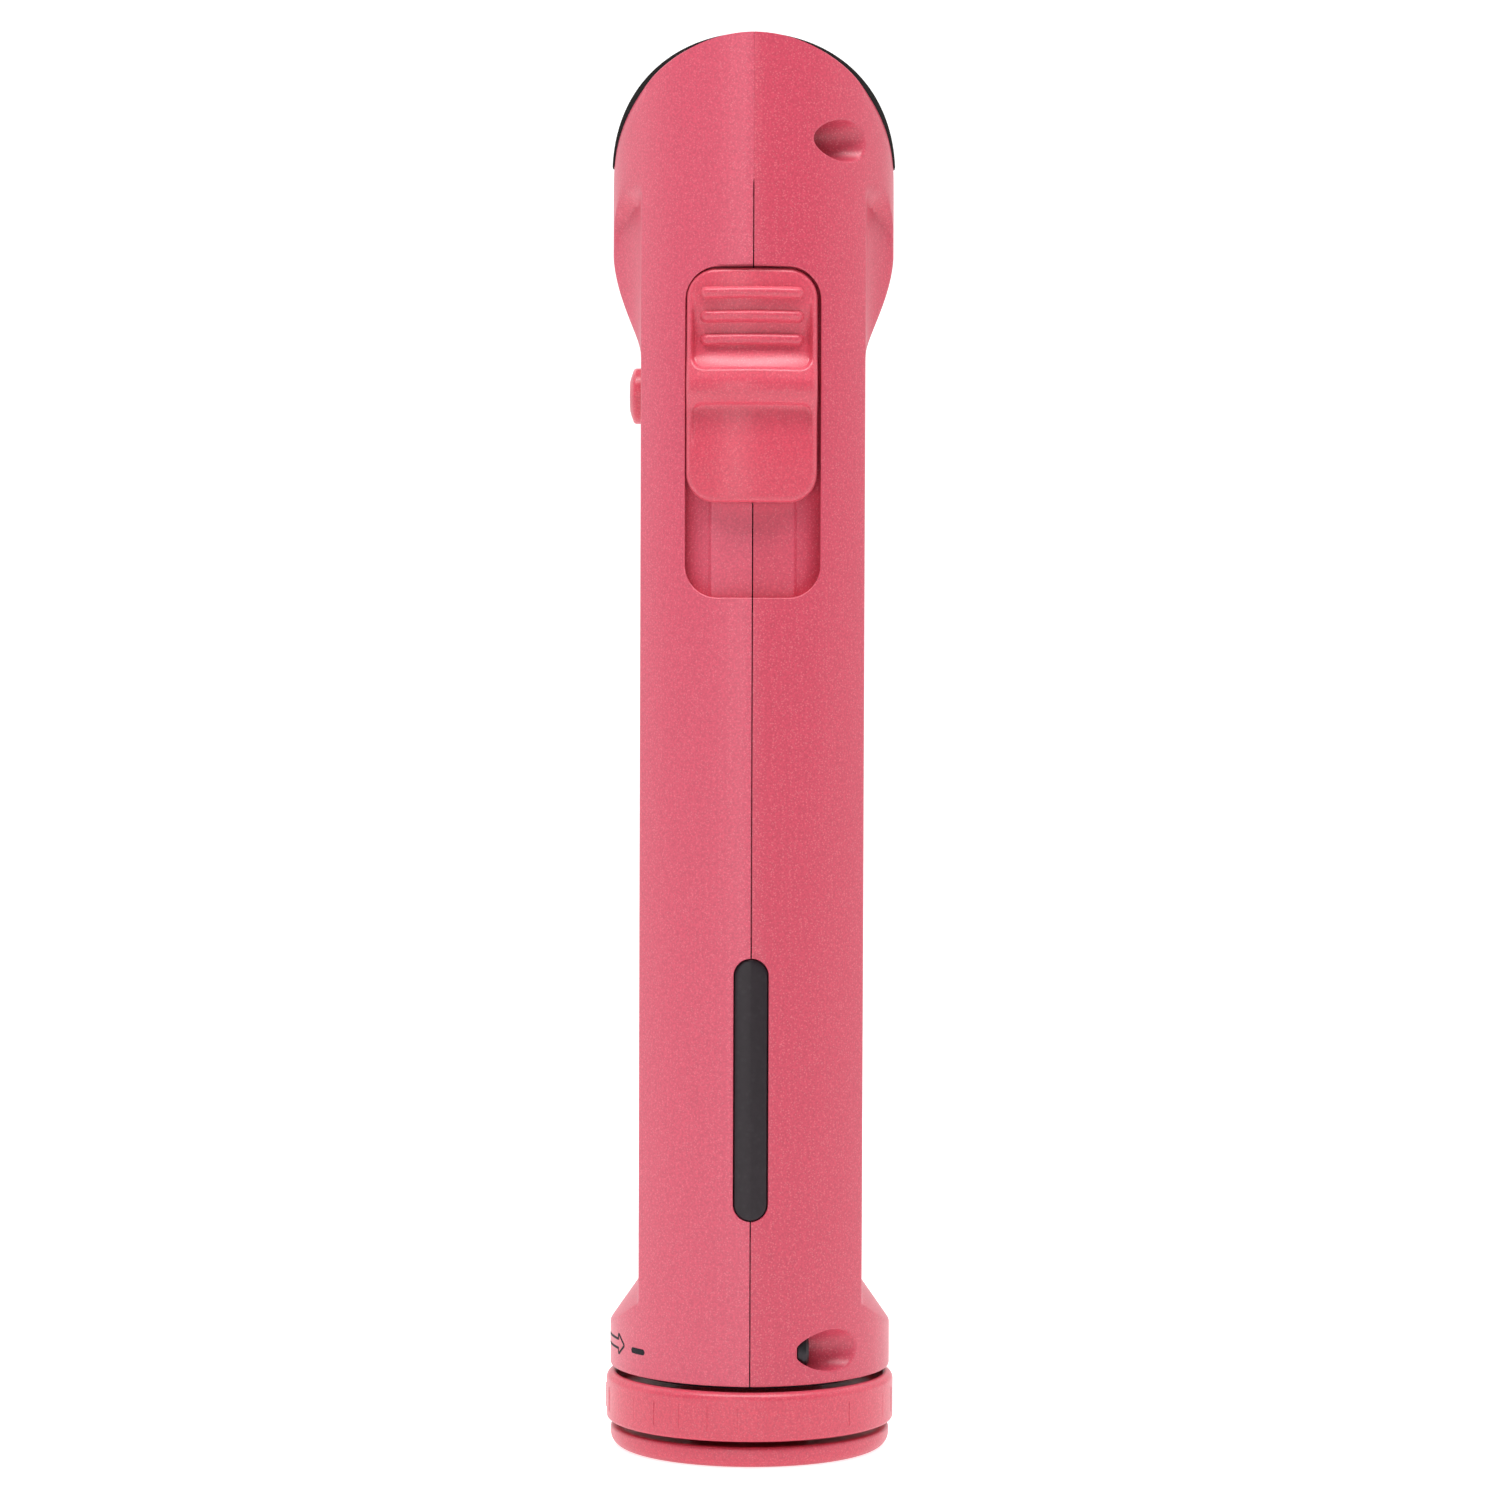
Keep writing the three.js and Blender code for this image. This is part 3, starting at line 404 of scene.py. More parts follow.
def metalFinish(name, look):
    material, tree, shader = startMaterial(name, look["color"], look["roughness"], metallic=1.0)
    streaks = placeGroup(tree, brushing, Streak=1.0)
    rough = rangeOf(tree, streaks.outputs["Streaks"], look["roughness"] * 0.75, look["roughness"] * 1.3)
    dull = tuple(c * 0.8 for c in look["color"])
    streaked = blendColor(tree, streaks.outputs["Streaks"], dull, look["color"])
    tree.links.new(streaked, shader.inputs["Base Color"])
    tree.links.new(rough, shader.inputs["Roughness"])
    bumpFrom(tree, shader, streaks.outputs["Height"], look["depth"], 0.3)
    return material


pinkLook = {
    "color": (0.68, 0.078, 0.132),
    "roughness": 0.37,
    "specular": 0.5,
    "pitch": 3000.0,
    "fleck": 0.35,
    "fleckColor": (0.92, 0.33, 0.38),
    "cloud": 0.95,
    "pit": 0.8,
    "depth": 0.03,
    "strength": 0.45,
}
# the left half is the same pink plastic as the right; its lighter base colour is painted light, standing in
# for the left key lamp's light and sheen on that half
pinkLeftPaintedLight = mouldedPlastic("pink_left_half_painted_light", {**pinkLook, "color": (0.73, 0.105, 0.168)})
pinkRight = mouldedPlastic("pink_right_half", pinkLook)
touchLook = {"color": (0.74, 0.085, 0.135), "fleck": 0.3, "roughness": 0.32, "strength": 0.4}
pinkTouch = mouldedPlastic("pink_touch_parts", {**pinkLook, **touchLook})
blackLook = {
    "color": (0.012, 0.010, 0.012),
    "roughness": 0.48,
    "specular": 0.5,
    "pitch": 2200.0,
    "fleck": 0.15,
    "fleckColor": (0.06, 0.055, 0.06),
    "cloud": 0.8,
    "pit": 0.75,
    "depth": 0.04,
    "strength": 0.5,
}
blackPlastic = mouldedPlastic("black_moulded", blackLook)
rubberLook = {"color": (0.014, 0.013, 0.013), "roughness": 0.82, "specular": 0.3, "pitch": 1500.0}
blackRubber = mouldedPlastic("black_rubber", {**blackLook, **rubberLook})
inkLook = {"color": (0.012, 0.008, 0.014), "roughness": 0.6, "specular": 0.2, "depth": 0.01}
printInk = mouldedPlastic("print_ink", {**blackLook, **inkLook})
nylonLook = {"color": (0.72, 0.69, 0.62), "fleckColor": (0.85, 0.83, 0.78), "cloud": 0.92}
nylon = mouldedPlastic("natural_nylon", {**blackLook, **nylonLook})
boardLook = {"color": (0.015, 0.16, 0.075), "roughness": 0.35, "fleckColor": (0.1, 0.35, 0.2)}
boardGreen = mouldedPlastic("solder_mask", {**blackLook, **boardLook})
wrapLook = {"color": (0.03, 0.13, 0.30), "roughness": 0.3, "fleckColor": (0.1, 0.25, 0.45)}
cellWrap = mouldedPlastic("cell_wrap", {**blackLook, **wrapLook})
lensLook = {"color": (0.024, 0.016, 0.021), "roughness": 0.3, "specular": 0.3}
lensLook.update({"pitch": 900.0, "fleck": 0.1, "depth": 0.006})
smokedLens = mouldedPlastic("smoked_window", {**blackLook, **lensLook})
mastSteel = metalFinish("drawn_steel", {"color": (0.42, 0.42, 0.44), "roughness": 0.27, "depth": 0.01})
zincSteel = metalFinish("zinc_steel", {"color": (0.62, 0.63, 0.66), "roughness": 0.34, "depth": 0.02})
blackSteel = metalFinish("blackened_steel", {"color": (0.05, 0.045, 0.05), "roughness": 0.42, "depth": 0.02})
turnedBrass = metalFinish("turned_brass", {"color": (0.72, 0.50, 0.20), "roughness": 0.28, "depth": 0.015})
print("materials made")


# geometry node trees for what repeats
def copiesTree(name, turning):  # copies of an item at points, or turned round Z with a random stretch
    tree = bpy.data.node_groups.new(name, "GeometryNodeTree")
    tree.is_modifier = True
    face = tree.interface
    face.new_socket(name="Geometry", in_out="INPUT", socket_type="NodeSocketGeometry")
    face.new_socket(name="Item", in_out="INPUT", socket_type="NodeSocketObject")
    face.new_socket(name="Count", in_out="INPUT", socket_type="NodeSocketInt")
    face.new_socket(name="Seed", in_out="INPUT", socket_type="NodeSocketInt")
    face.new_socket(name="Least", in_out="INPUT", socket_type="NodeSocketFloat")
    face.new_socket(name="Material", in_out="INPUT", socket_type="NodeSocketMaterial")
    face.new_socket(name="Geometry", in_out="OUTPUT", socket_type="NodeSocketGeometry")
    make, link = tree.nodes.new, tree.links.new
    start, end = make("NodeGroupInput"), make("NodeGroupOutput")
    item = make("GeometryNodeObjectInfo")
    place = make("GeometryNodeInstanceOnPoints")
    real = make("GeometryNodeRealizeInstances")
    paint = make("GeometryNodeSetMaterial")
    link(start.outputs["Item"], item.inputs["Object"])
    link(item.outputs["Geometry"], place.inputs["Instance"])
    if turning:
        line = make("GeometryNodeMeshLine")
        line.inputs["Offset"].default_value = (0, 0, 0)
        link(start.outputs["Count"], line.inputs["Count"])
        index = make("GeometryNodeInputIndex")
        share = make("ShaderNodeMath")
        share.operation = "DIVIDE"
        link(index.outputs[0], share.inputs[0])
        link(start.outputs["Count"], share.inputs[1])
        turn = make("ShaderNodeMath")
        turn.operation = "MULTIPLY"
        turn.inputs[1].default_value = 2 * math.pi
        link(share.outputs[0], turn.inputs[0])
        angles = make("ShaderNodeCombineXYZ")
        link(turn.outputs[0], angles.inputs["Z"])
        chance = make("FunctionNodeRandomValue")
        link(start.outputs["Seed"], chance.inputs["Seed"])
        link(start.outputs["Least"], chance.inputs[2])
        chance.inputs[3].default_value = 1.0
        sizes = make("ShaderNodeCombineXYZ")
        sizes.inputs["X"].default_value = 1.0
        sizes.inputs["Y"].default_value = 1.0
        link(chance.outputs[1], sizes.inputs["Y"])
        sizes.inputs["Z"].default_value = 1.0
        link(line.outputs["Mesh"], place.inputs["Points"])
        link(angles.outputs[0], place.inputs["Rotation"])
        link(sizes.outputs[0], place.inputs["Scale"])
    else:
        link(start.outputs["Geometry"], place.inputs["Points"])
    link(place.outputs["Instances"], real.inputs["Geometry"])
    link(real.outputs["Geometry"], paint.inputs["Geometry"])
    link(start.outputs["Material"], paint.inputs["Material"])
    link(paint.outputs["Geometry"], end.inputs["Geometry"])
    return tree


copiesAtPoints = copiesTree("copiesAtPoints", False)
copiesRound = copiesTree("copiesRound", True)


def runTree(holder, tree, values):
    step = holder.modifiers.new("copies", "NODES")
    step.node_group = tree
    for socket in tree.interface.items_tree:
        if socket.in_out == "INPUT" and socket.name in values:
            step[socket.identifier] = values[socket.name]
    bake(holder)
    bpy.data.objects.remove(values["Item"])
    return holder


def emptyHolder(name, points=()):
    mesh = bpy.data.meshes.new(name)
    mesh.from_pydata([tuple(v * mm for v in p) for p in points], [], [])
    made = bpy.data.objects.new(name, mesh)
    bpy.context.scene.collection.objects.link(made)
    return made


# grip shells
def frontY(x, inset=0.0):  # the skin of either half at a distance x from the seam
    crease = grip["crease"]
    return crease - np.sqrt((grip["radius"] - inset + crease) ** 2 - (np.abs(x) + crease) ** 2)


def neckCurve(inset):
    t = np.linspace(0, 1, 60)
    flat, wide = grip["flatHalf"] - inset, grip["headHalf"] - inset
    bend, top = neckLow + grip["neckLength"] * 0.24, neckHigh - grip["neckLength"] * 0.46
    x = flat * ((1 - t) ** 3 + 3 * t * (1 - t) ** 2) + wide * (3 * t**2 * (1 - t) + t**3)
    z = neckLow * (1 - t) ** 3 + 3 * bend * t * (1 - t) ** 2 + 3 * top * t**2 * (1 - t) + neckHigh * t**3
    return z, x


def sideLimit(y, z, inset):  # how far out the side reaches at each y
    flat, wide = grip["flatHalf"] - inset, grip["headHalf"] - inset
    if z < flareHigh:
        drop = min(flareHigh - z, grip["flareRise"] / 2 + 0.3)
        bend = grip["flareBend"] - inset + grip["flareSlope"] * drop
        cone = np.sqrt(np.maximum(bend**2 - y**2, 0)) - (grip["flareBend"] - grip["flatHalf"])
        return np.maximum(flat, cone)
    if z <= neckLow:
        return np.full_like(y, flat)
    reach = wide
    if z < neckHigh:
        reach = float(np.interp(z, *neckCurve(inset)))
    elif z > domeBase:
        reach = wide * math.sqrt(max(0, 1 - ((z - domeBase) / (grip["domeHeight"] - inset)) ** 2))
    limit = np.full_like(y, reach)
    radius = grip["scoopRadius"] + inset
    across = radius**2 - (y + grip["scoopForward"]) ** 2
    scooped = grip["flatHalf"] + grip["scoopRadius"] - np.sqrt(np.maximum(across, 0))
    arch = np.sqrt(np.maximum(1 - ((y + grip["archForward"]) / grip["archHalf"]) ** 2, 0))
    end = scoopTop + grip["scoopEnd"] * arch + inset
    share = np.clip((end - z) / grip["scoopFade"] + 0.5, 0, 1)
    share = share * share * (3 - 2 * share) * (across > 0)
    return limit + (np.minimum(limit, scooped) - limit) * share


columns = {"front": 46, "side": 60, "flank": 16, "rear": 34}
cornerTurn = math.radians(51.8)


def softened(path, reach):  # rounds the corners of a dense path
    kernel = np.ones(2 * reach + 1) / (2 * reach + 1)
    before = 2 * path[:1] - path[reach:0:-1]
    after = 2 * path[-1:] - path[-2 : -reach - 2 : -1]
    padded = np.concatenate([before, path, after])
    return np.stack([np.convolve(padded[:, k], kernel, mode="valid") for k in range(2)], axis=-1)


def evenly(path, count, gather=0.0):  # the same path with count points, gathered towards its end
    steps = np.linalg.norm(np.diff(path, axis=0), axis=1)
    along = np.concatenate([[0], np.cumsum(steps)])
    share = np.linspace(0, 1, count)
    share = share + gather * np.sin(math.pi * share) * 0.3
    return np.stack([np.interp(share * along[-1], along, path[:, k]) for k in range(2)], axis=-1)


def halfOutline(z, inset, isHead):
    radius, crease = grip["radius"] - inset, grip["crease"]
    seam = grip["seamAbove"] if z > topZ - grip["seamDrop"] else grip["seam"]
    backY = grip["backY"] - inset
    first = math.asin((seam + crease) / (radius + crease))
    last = math.acos((crease - backY) / (radius + crease))
    turns = np.linspace(first, last, 900)
    x = (radius + crease) * np.sin(turns) - crease
    y = crease - (radius + crease) * np.cos(turns)
    x = np.minimum(x, np.sqrt(radius**2 - np.minimum(y * y, radius**2 - 1)))
    limit = sideLimit(y, z, inset)
    clipped = np.nonzero((x > limit) & (turns < cornerTurn))[0]
    corner = clipped[0] if len(clipped) else int(np.searchsorted(turns, cornerTurn))
    corner = max(corner, 3)
    front = np.stack([np.minimum(x, limit), y], axis=-1)
    front[:, 0] = np.maximum(front[:, 0], seam)
    front = softened(front, 7)
    made = [evenly(front[: corner + 1], columns["front"], gather=0.9)[:-1]]
    made.append(evenly(front[corner:], columns["side"])[:-1])
    end = front[-1]
    if isHead:
        line = np.stack([np.linspace(end[0], seam, 200), np.full(200, backY)], axis=-1)
        made.append(evenly(line, columns["flank"] + columns["rear"] - 1))
    else:
        turns = np.linspace(math.asin(backY / radius), math.acos(seam / radius), 700)
        x, y = radius * np.cos(turns), radius * np.sin(turns)
        limit = sideLimit(y, z, inset)
        rear = softened(np.stack([np.minimum(x, limit), y], axis=-1), 7)
        rear[0] = end
        free = np.nonzero((x <= limit) & (turns > math.radians(38)))[0]
        corner = int(free[0])
        made.append(evenly(rear[: corner + 1], columns["flank"])[:-1])
        made.append(evenly(rear[corner:], columns["rear"]))
    outline = np.concatenate(made)
    outline[0, 0] = outline[-1, 0] = seam
    return outline


def shellLevels():  # outer height, inner height, and whether the level is in the head
    low = shellLow[2]
    levels = [(low, low, False), (low + 0.12, low, False), (low + 0.35, low + 0.1, False)]
    for z in np.arange(low + 1, flareHigh + 1.5, 0.45):
        levels.append((z, z, False))
    for z in np.arange(flareHigh + 4, shoulder - 7, 7.0):
        levels.append((z, z, False))
    for share in (0.0, 0.4, 0.8, 1.0):
        levels.append((shoulder - 6 + 6 * share, shoulder - 6 + 4 * share, False))
    for z in np.concatenate([[0.0, 1.5, 3.0], np.arange(4.4, domeBase - shoulder, 0.55)]):
        inner = shoulder - grip["wall"] + z * 8 / 6 if z < 6 else shoulder + z
        levels.append((shoulder + z, inner, True))
    fullTurn = math.acos(0.55 / grip["headHalf"])
    for share in np.linspace(0.02, 1, 44):
        turn = fullTurn * share
        inner = domeBase + (grip["domeHeight"] - grip["wall"]) * math.sin(turn)
        levels.append((domeBase + grip["domeHeight"] * math.sin(turn), inner, True))
    return levels


def halfShell(name):  # the right half, as a closed skin two millimetres thick
    levels = shellLevels()
    outer, inner = [], []
    for i, (z, innerZ, isHead) in enumerate(levels):
        skin = halfOutline(z, 0.0, isHead)
        tuck = (0.28, 0.07)[i] if i < 2 else 0.0
        skin = skin * (1 - tuck / grip["radius"])
        for j, ease in ((0, 0.10), (1, 0.02)):  # the seam's edges are eased
            skin[j, 1] += ease
            skin[-1 - j, 1] -= ease
        outer.append(spread("z", skin[:, 0], skin[:, 1], z))
        lining = halfOutline(min(innerZ, topZ - grip["wall"] - 0.05), grip["wall"], isHead)
        inner.append(spread("z", lining[:, 0], lining[:, 1], innerZ))
    outer, inner = np.array(outer), np.array(inner)
    rimRows = [i for i, level in enumerate(levels) if level[0] > domeBase - 6]
    first, lastColumn = columns["front"] - 9, columns["front"] + columns["side"] + 2
    for _ in range(14):  # softens the rim round the top of the head
        eased = outer.copy()
        for i in rimRows[1:-1]:
            part = slice(first, lastColumn)
            around = outer[i - 1, part] + outer[i + 1, part]
            beside = outer[i, first - 1 : lastColumn - 1] + outer[i, first + 1 : lastColumn + 1]
            fade = min(1.0, (i - rimRows[0]) / 8)
            eased[i, part] = outer[i, part] * (1 - fade) + fade * (around + beside) / 4
        outer = eased
    rows, count = outer.shape[:2]
    points = np.concatenate([outer.reshape(-1, 3), inner.reshape(-1, 3)])
    faces = gridFaces(rows, count)
    faces += [tuple(reversed(face)) for face in gridFaces(rows, count, start=rows * count)]
    inward = rows * count
    for i in range(rows - 1):  # seam faces
        for j in (0, count - 1):
            a, b = i * count + j, (i + 1) * count + j
            faces.append((a, b, b + inward, a + inward))
    for j in range(count - 1):  # lower rim and crown
        for i in (0, rows - 1):
            a, b = i * count + j, i * count + j + 1
            faces.append((a, b, b + inward, a + inward))
    return makeObject(name, points, faces)


def opening(name, path, axis, skin, floor, outwards, rim=0.35, bottom=0.3):
    # a cutter whose mouth is eased where it meets the skin and whose floor has a round corner
    rings = []
    turns = np.radians([10, 25, 40, 55, 70, 90])
    for turn in turns:
        ring = grown(path, rim * (1 - math.sin(turn)))
        depth = rim * (1 - math.cos(turn))
        place = skin(ring[:, 0], ring[:, 1]) - outwards * depth
        if not rings:
            rings.append(spread(axis, ring[:, 0], ring[:, 1], place + outwards * 2.5))
        rings.append(spread(axis, ring[:, 0], ring[:, 1], place))
    for turn in np.radians([0, 30, 60, 90]):
        ring = grown(path, -bottom * (1 - math.cos(turn)))
        place = floor + outwards * bottom * (1 - math.sin(turn))
        rings.append(spread(axis, ring[:, 0], ring[:, 1], place))
    return loft(name, rings)


track = {
    "half": 10.75,
    "top": sliderHigh[2] + 0.3,
    "length": 52.4,
    "corner": 5.2,
    "floor": -19.9,
    "shelf": 7.0,
    "step": 0.7,
    "slope": 0.45,
    "sideDrop": 2.0,
    "behind": 1.7,
    "rim": 0.3,
}
trackLow = track["top"] - track["length"]


def trackSection(half, shelf, back, front):
    floor, edge = track["floor"] + back, track["floor"] + track["step"] + back
    side = edge + track["sideDrop"] * (half - track["shelf"]) / (track["half"] - track["shelf"])
    slope = track["slope"]
    path = [(-half, front), (half, front), (half, side), (shelf, edge), (shelf - slope, floor)]
    path += [(-shelf + slope, floor), (-shelf, edge), (-half, side)]
    return rounded(path, [0, 0, 0, 0.25, 0.2, 0.2, 0.25, 0], steps=3)


def trackCutter():
    path = rounded(boxPath(-track["half"], track["half"], trackLow, track["top"]), track["corner"], steps=14)
    mouth = opening("track_mouth", path, "y", lambda x, z: frontY(x), -12.0, -1, rim=track["rim"], bottom=0.1)
    section = trackSection(track["half"] + 1.5, track["shelf"], 0, -32)
    rings = [spread("z", section[:, 0], section[:, 1], z) for z in (trackLow - 3, track["top"] + 3)]
    return cut(mouth, loft("track_section", rings), "INTERSECT")


def trackTub(side):
    half, spare = track["half"] + track["behind"], track["behind"]
    x = np.linspace(0.1, half, 24)
    arc = np.stack([x, -np.sqrt(21.95**2 - x**2)], axis=-1)
    back = trackSection(half, track["shelf"] + track["behind"], track["behind"], -32)
    back = back[(back[:, 0] > 0.2) & (back[:, 1] > -30)]
    path = np.concatenate([arc, back[np.argsort(-back[:, 0])], [[0.1, track["floor"] + spare]]])
    path[:, 0] *= side
    rings = [spread("z", path[:, 0], path[:, 1], z) for z in (trackLow - spare, track["top"] + spare)]
    return loft("tub", rings)


recess = {"radius": 3.3, "floor": 7.2, "places": {}}
for label in ("upper", "middle", "lower", "heel"):
    low, high = edges("case_screw_" + label)
    recess["places"][label] = ((low[1] + high[1]) / 2, (low[2] + high[2]) / 2)
buttonY = (buttonLow[1] + buttonHigh[1]) / 2
buttonZ = (buttonLow[2] + buttonHigh[2]) / 2


def circle(radius, centre, count=56):
    turns = np.linspace(0, 2 * math.pi, count, endpoint=False)
    return np.stack([centre[0] + radius * np.cos(turns), centre[1] + radius * np.sin(turns)], axis=-1)


def sideSkin(y, z):
    crease, radius = grip["crease"], grip["radius"]
    y = np.asarray(y, float)
    front = np.sqrt(np.maximum((radius + crease) ** 2 - (crease - y) ** 2, 0.01)) - crease
    plain = np.sqrt(np.maximum(radius**2 - y**2, 0.01))
    arc = np.minimum(front, plain)
    wide = []
    for reach, place, height in zip(arc, y, np.asarray(z, float)):
        wide.append(min(reach, float(sideLimit(np.array([place]), height, 0.0)[0])))
    return np.array(wide)


def shellBosses(side):  # the tubes round the screws, from the wall to the seam
    tubes = []
    for place in recess["places"].values():
        if side > 0:
            tube = prism("boss", circle(4.3, place, 32), "x", 0.1, 26, edge=0.05, steps=1)
            tubes.append(cut(tube, shellCore(place[1]), "INTERSECT"))
    return tubes


def shellCore(middleZ):  # the room inside the outer skin, round a height
    rings = []
    for z in np.linspace(middleZ - 6, middleZ + 6, 13):
        z = max(z, shellLow[2] + 0.5)
        outline = halfOutline(z, 1.0, z > shoulder)
        rings.append(spread("z", outline[:, 0], outline[:, 1], z + 1e-4 * len(rings)))
    return loft("core", rings)


def tongues():  # lips of the left half that reach behind the seam
    made = []
    for low, high in ((16.6, 36.5), (84.5, 136.0), (193.5, 225.2)):
        path = boxPath(-1.6, 1.0, low, high)
        made.append(prism("tongue", np.array(path), "y", -20.78, -19.9, edge=0.05, steps=1))
    return made


def buildShell(name, side):
    shell = halfShell(name)
    if side < 0:
        shell.data.transform(mirror)
        shell.data.flip_normals()
    cut(shell, trackTub(side), "UNION")
    for tube in shellBosses(side):
        cut(shell, tube, "UNION")
    cut(shell, trackCutter())
    slotLow, slotHigh = sliderHigh[2] - 37.0, sliderHigh[2] - 15.1
    slot = rounded(boxPath(-3.3, 3.3, slotLow, slotHigh), 1.2, steps=5)
    cut(shell, prism("slot", slot, "y", -24, -12, edge=0.05, steps=1))
    window = stadium(2.78, lensLow[2] + 1.37, lensHigh[2] - 1.37)
    cut(shell, opening("window", window, "y", lambda x, z: frontY(x), -17.0, -1, rim=0.22, bottom=0.05))
    plate = rounded(headPath(3.2), 1.0, steps=2)
    cut(shell, prism("back_opening", plate, "y", -0.6, 4.0, edge=0.02, steps=1))
    low, high = shoulder - 4, shoulder + 4
    mouth = [(0, low), (8.5, low), (8.5, high), (0, high)]
    cut(shell, lathe("mouth", mouth, 72, centre=(0, mastY), shut=False))
    if side > 0:
        for place in recess["places"].values():
            path = circle(recess["radius"], place)
            cut(shell, opening("recess", path, "x", sideSkin, recess["floor"], 1, rim=0.35))
        gap = 0.3
        box = boxPath(socketLow[1] - gap, socketHigh[1] + gap, socketLow[2] - gap, socketHigh[2] + gap)
        inlet = rounded(box, 1.88, steps=8)
        cut(shell, opening("inlet", inlet, "x", sideSkin, 14.0, 1, rim=0.3, bottom=0.05))
    else:
        hole = circle(4.8, (buttonY, buttonZ))
        cut(shell, opening("hole", hole, "x", lambda y, z: -sideSkin(y, z), -14.0, -1, rim=0.25, bottom=0.05))
    return shell


def headPath(inset):  # the outline of the head's rear face, from the shoulder to the crown
    z, x = neckCurve(inset)
    right = np.stack([x, z], axis=-1)[::4]
    turns = np.linspace(0, math.pi, 60)
    half, rise = grip["headHalf"] - inset, grip["domeHeight"] - inset
    dome = np.stack([half * np.cos(turns), domeBase + rise * np.sin(turns)], axis=-1)
    left = right[::-1] * np.array([-1, 1])
    return np.concatenate([right, dome, left])


mirror = Matrix.Scale(-1, 4, (1, 0, 0))
rightShell = buildShell("right_grip_shell", 1)
dress(rightShell, "handle", pinkRight, ["right_shell"])
print("right shell made", len(rightShell.data.polygons))
leftShell = buildShell("left_grip_shell", -1)
for lip in tongues():
    joined(leftShell, lip)
# this half takes the copy of the pink with painted light from the left lamp
dress(leftShell, "handle", pinkLeftPaintedLight, ["left_shell"])
print("left shell made", len(leftShell.data.polygons))

# thumb slider
slider = {
    "half": track["half"] - 0.35,
    "play": -0.2,
    "corner": 4.6,
    "edge": 0.85,
    "pocketHalf": 9.7,
    "pocketCorner": 2.3,
    "pocketLow": 20.6,
    "lowerTop": 15.9,
    "ribHalf": 8.15,
    "ribRadius": 0.9,
    "ribPlaces": (33.1, 29.4, 25.8),
    "ribProud": 0.95,
}
# height above the slider's lower end, then reach from the grip's axis
slider["rim"] = [(0, 22.6), (6, 22.95), (13, 23.0), (15.2, 23.2), (17.2, 24.4)]
slider["rim"] += [(19, 24.5), (20.6, 23.9), (23, 23.0), (30, 22.8), (37, 22.5)]
slider["pocket"] = [(20, 24.4), (21, 23.5), (22, 22.7), (23, 22.1), (24, 21.7)]
slider["pocket"] += [(26, 21.4), (28, 21.7), (31, 22.35), (34, 22.6), (38, 22.6)]


def boxDistance(x, z, half, low, high, corner):  # below nothing inside a rounded rectangle
    across = np.abs(x) - (half - corner)
    along = np.abs(z - (low + high) / 2) - ((high - low) / 2 - corner)
    outside = np.hypot(np.maximum(across, 0), np.maximum(along, 0))
    return outside + np.minimum(np.maximum(across, along), 0) - corner


def ramp(value, low, high):
    t = np.clip((value - low) / (high - low), 0, 1)
    return t * t * (3 - 2 * t)


def smoothCurve(z, knots):  # a soft line through height and reach pairs
    heights, reaches = np.array(knots).T
    dense = np.linspace(-3, 42, 901)
    kernel = np.hanning(45)
    padded = np.interp(np.linspace(-4.1, 43.1, 901 + 44), heights, reaches)
    return np.interp(z, dense, np.convolve(padded, kernel / kernel.sum(), mode="valid"))


def sliderFront(x, z):  # distance from the grip axis, z measured from the slider's lower end
    length = sliderHigh[2] - sliderLow[2]
    rim = smoothCurve(z, slider["rim"])
    pocket = smoothCurve(z, slider["pocket"])
    low, corner = slider["pocketLow"], slider["pocketCorner"]
    inside = ramp(-boxDistance(x, z, slider["pocketHalf"], low, length + 6, corner), 0, 0.7)
    reach = rim * (1 - inside) + np.minimum(pocket, rim) * inside
    lower = ramp(-boxDistance(x, z, slider["pocketHalf"], -8, slider["lowerTop"], 1.8), 0, 0.7)
    reach = reach - lower * 0.6 * ramp(z, 6.5, 15.0)
    for middle in slider["ribPlaces"]:
        spine = np.hypot(np.maximum(np.abs(x) - (slider["ribHalf"] - slider["ribRadius"]), 0), z - middle)
        swell = np.sqrt(np.maximum(1 - (spine / slider["ribRadius"]) ** 2, 0))
        reach = reach + slider["ribProud"] * swell
    near = -boxDistance(x, z, slider["half"], 0, length, slider["corner"])
    shy = np.clip(slider["edge"] - near, 0, slider["edge"])
    return reach - (slider["edge"] - np.sqrt(slider["edge"] ** 2 - shy**2))


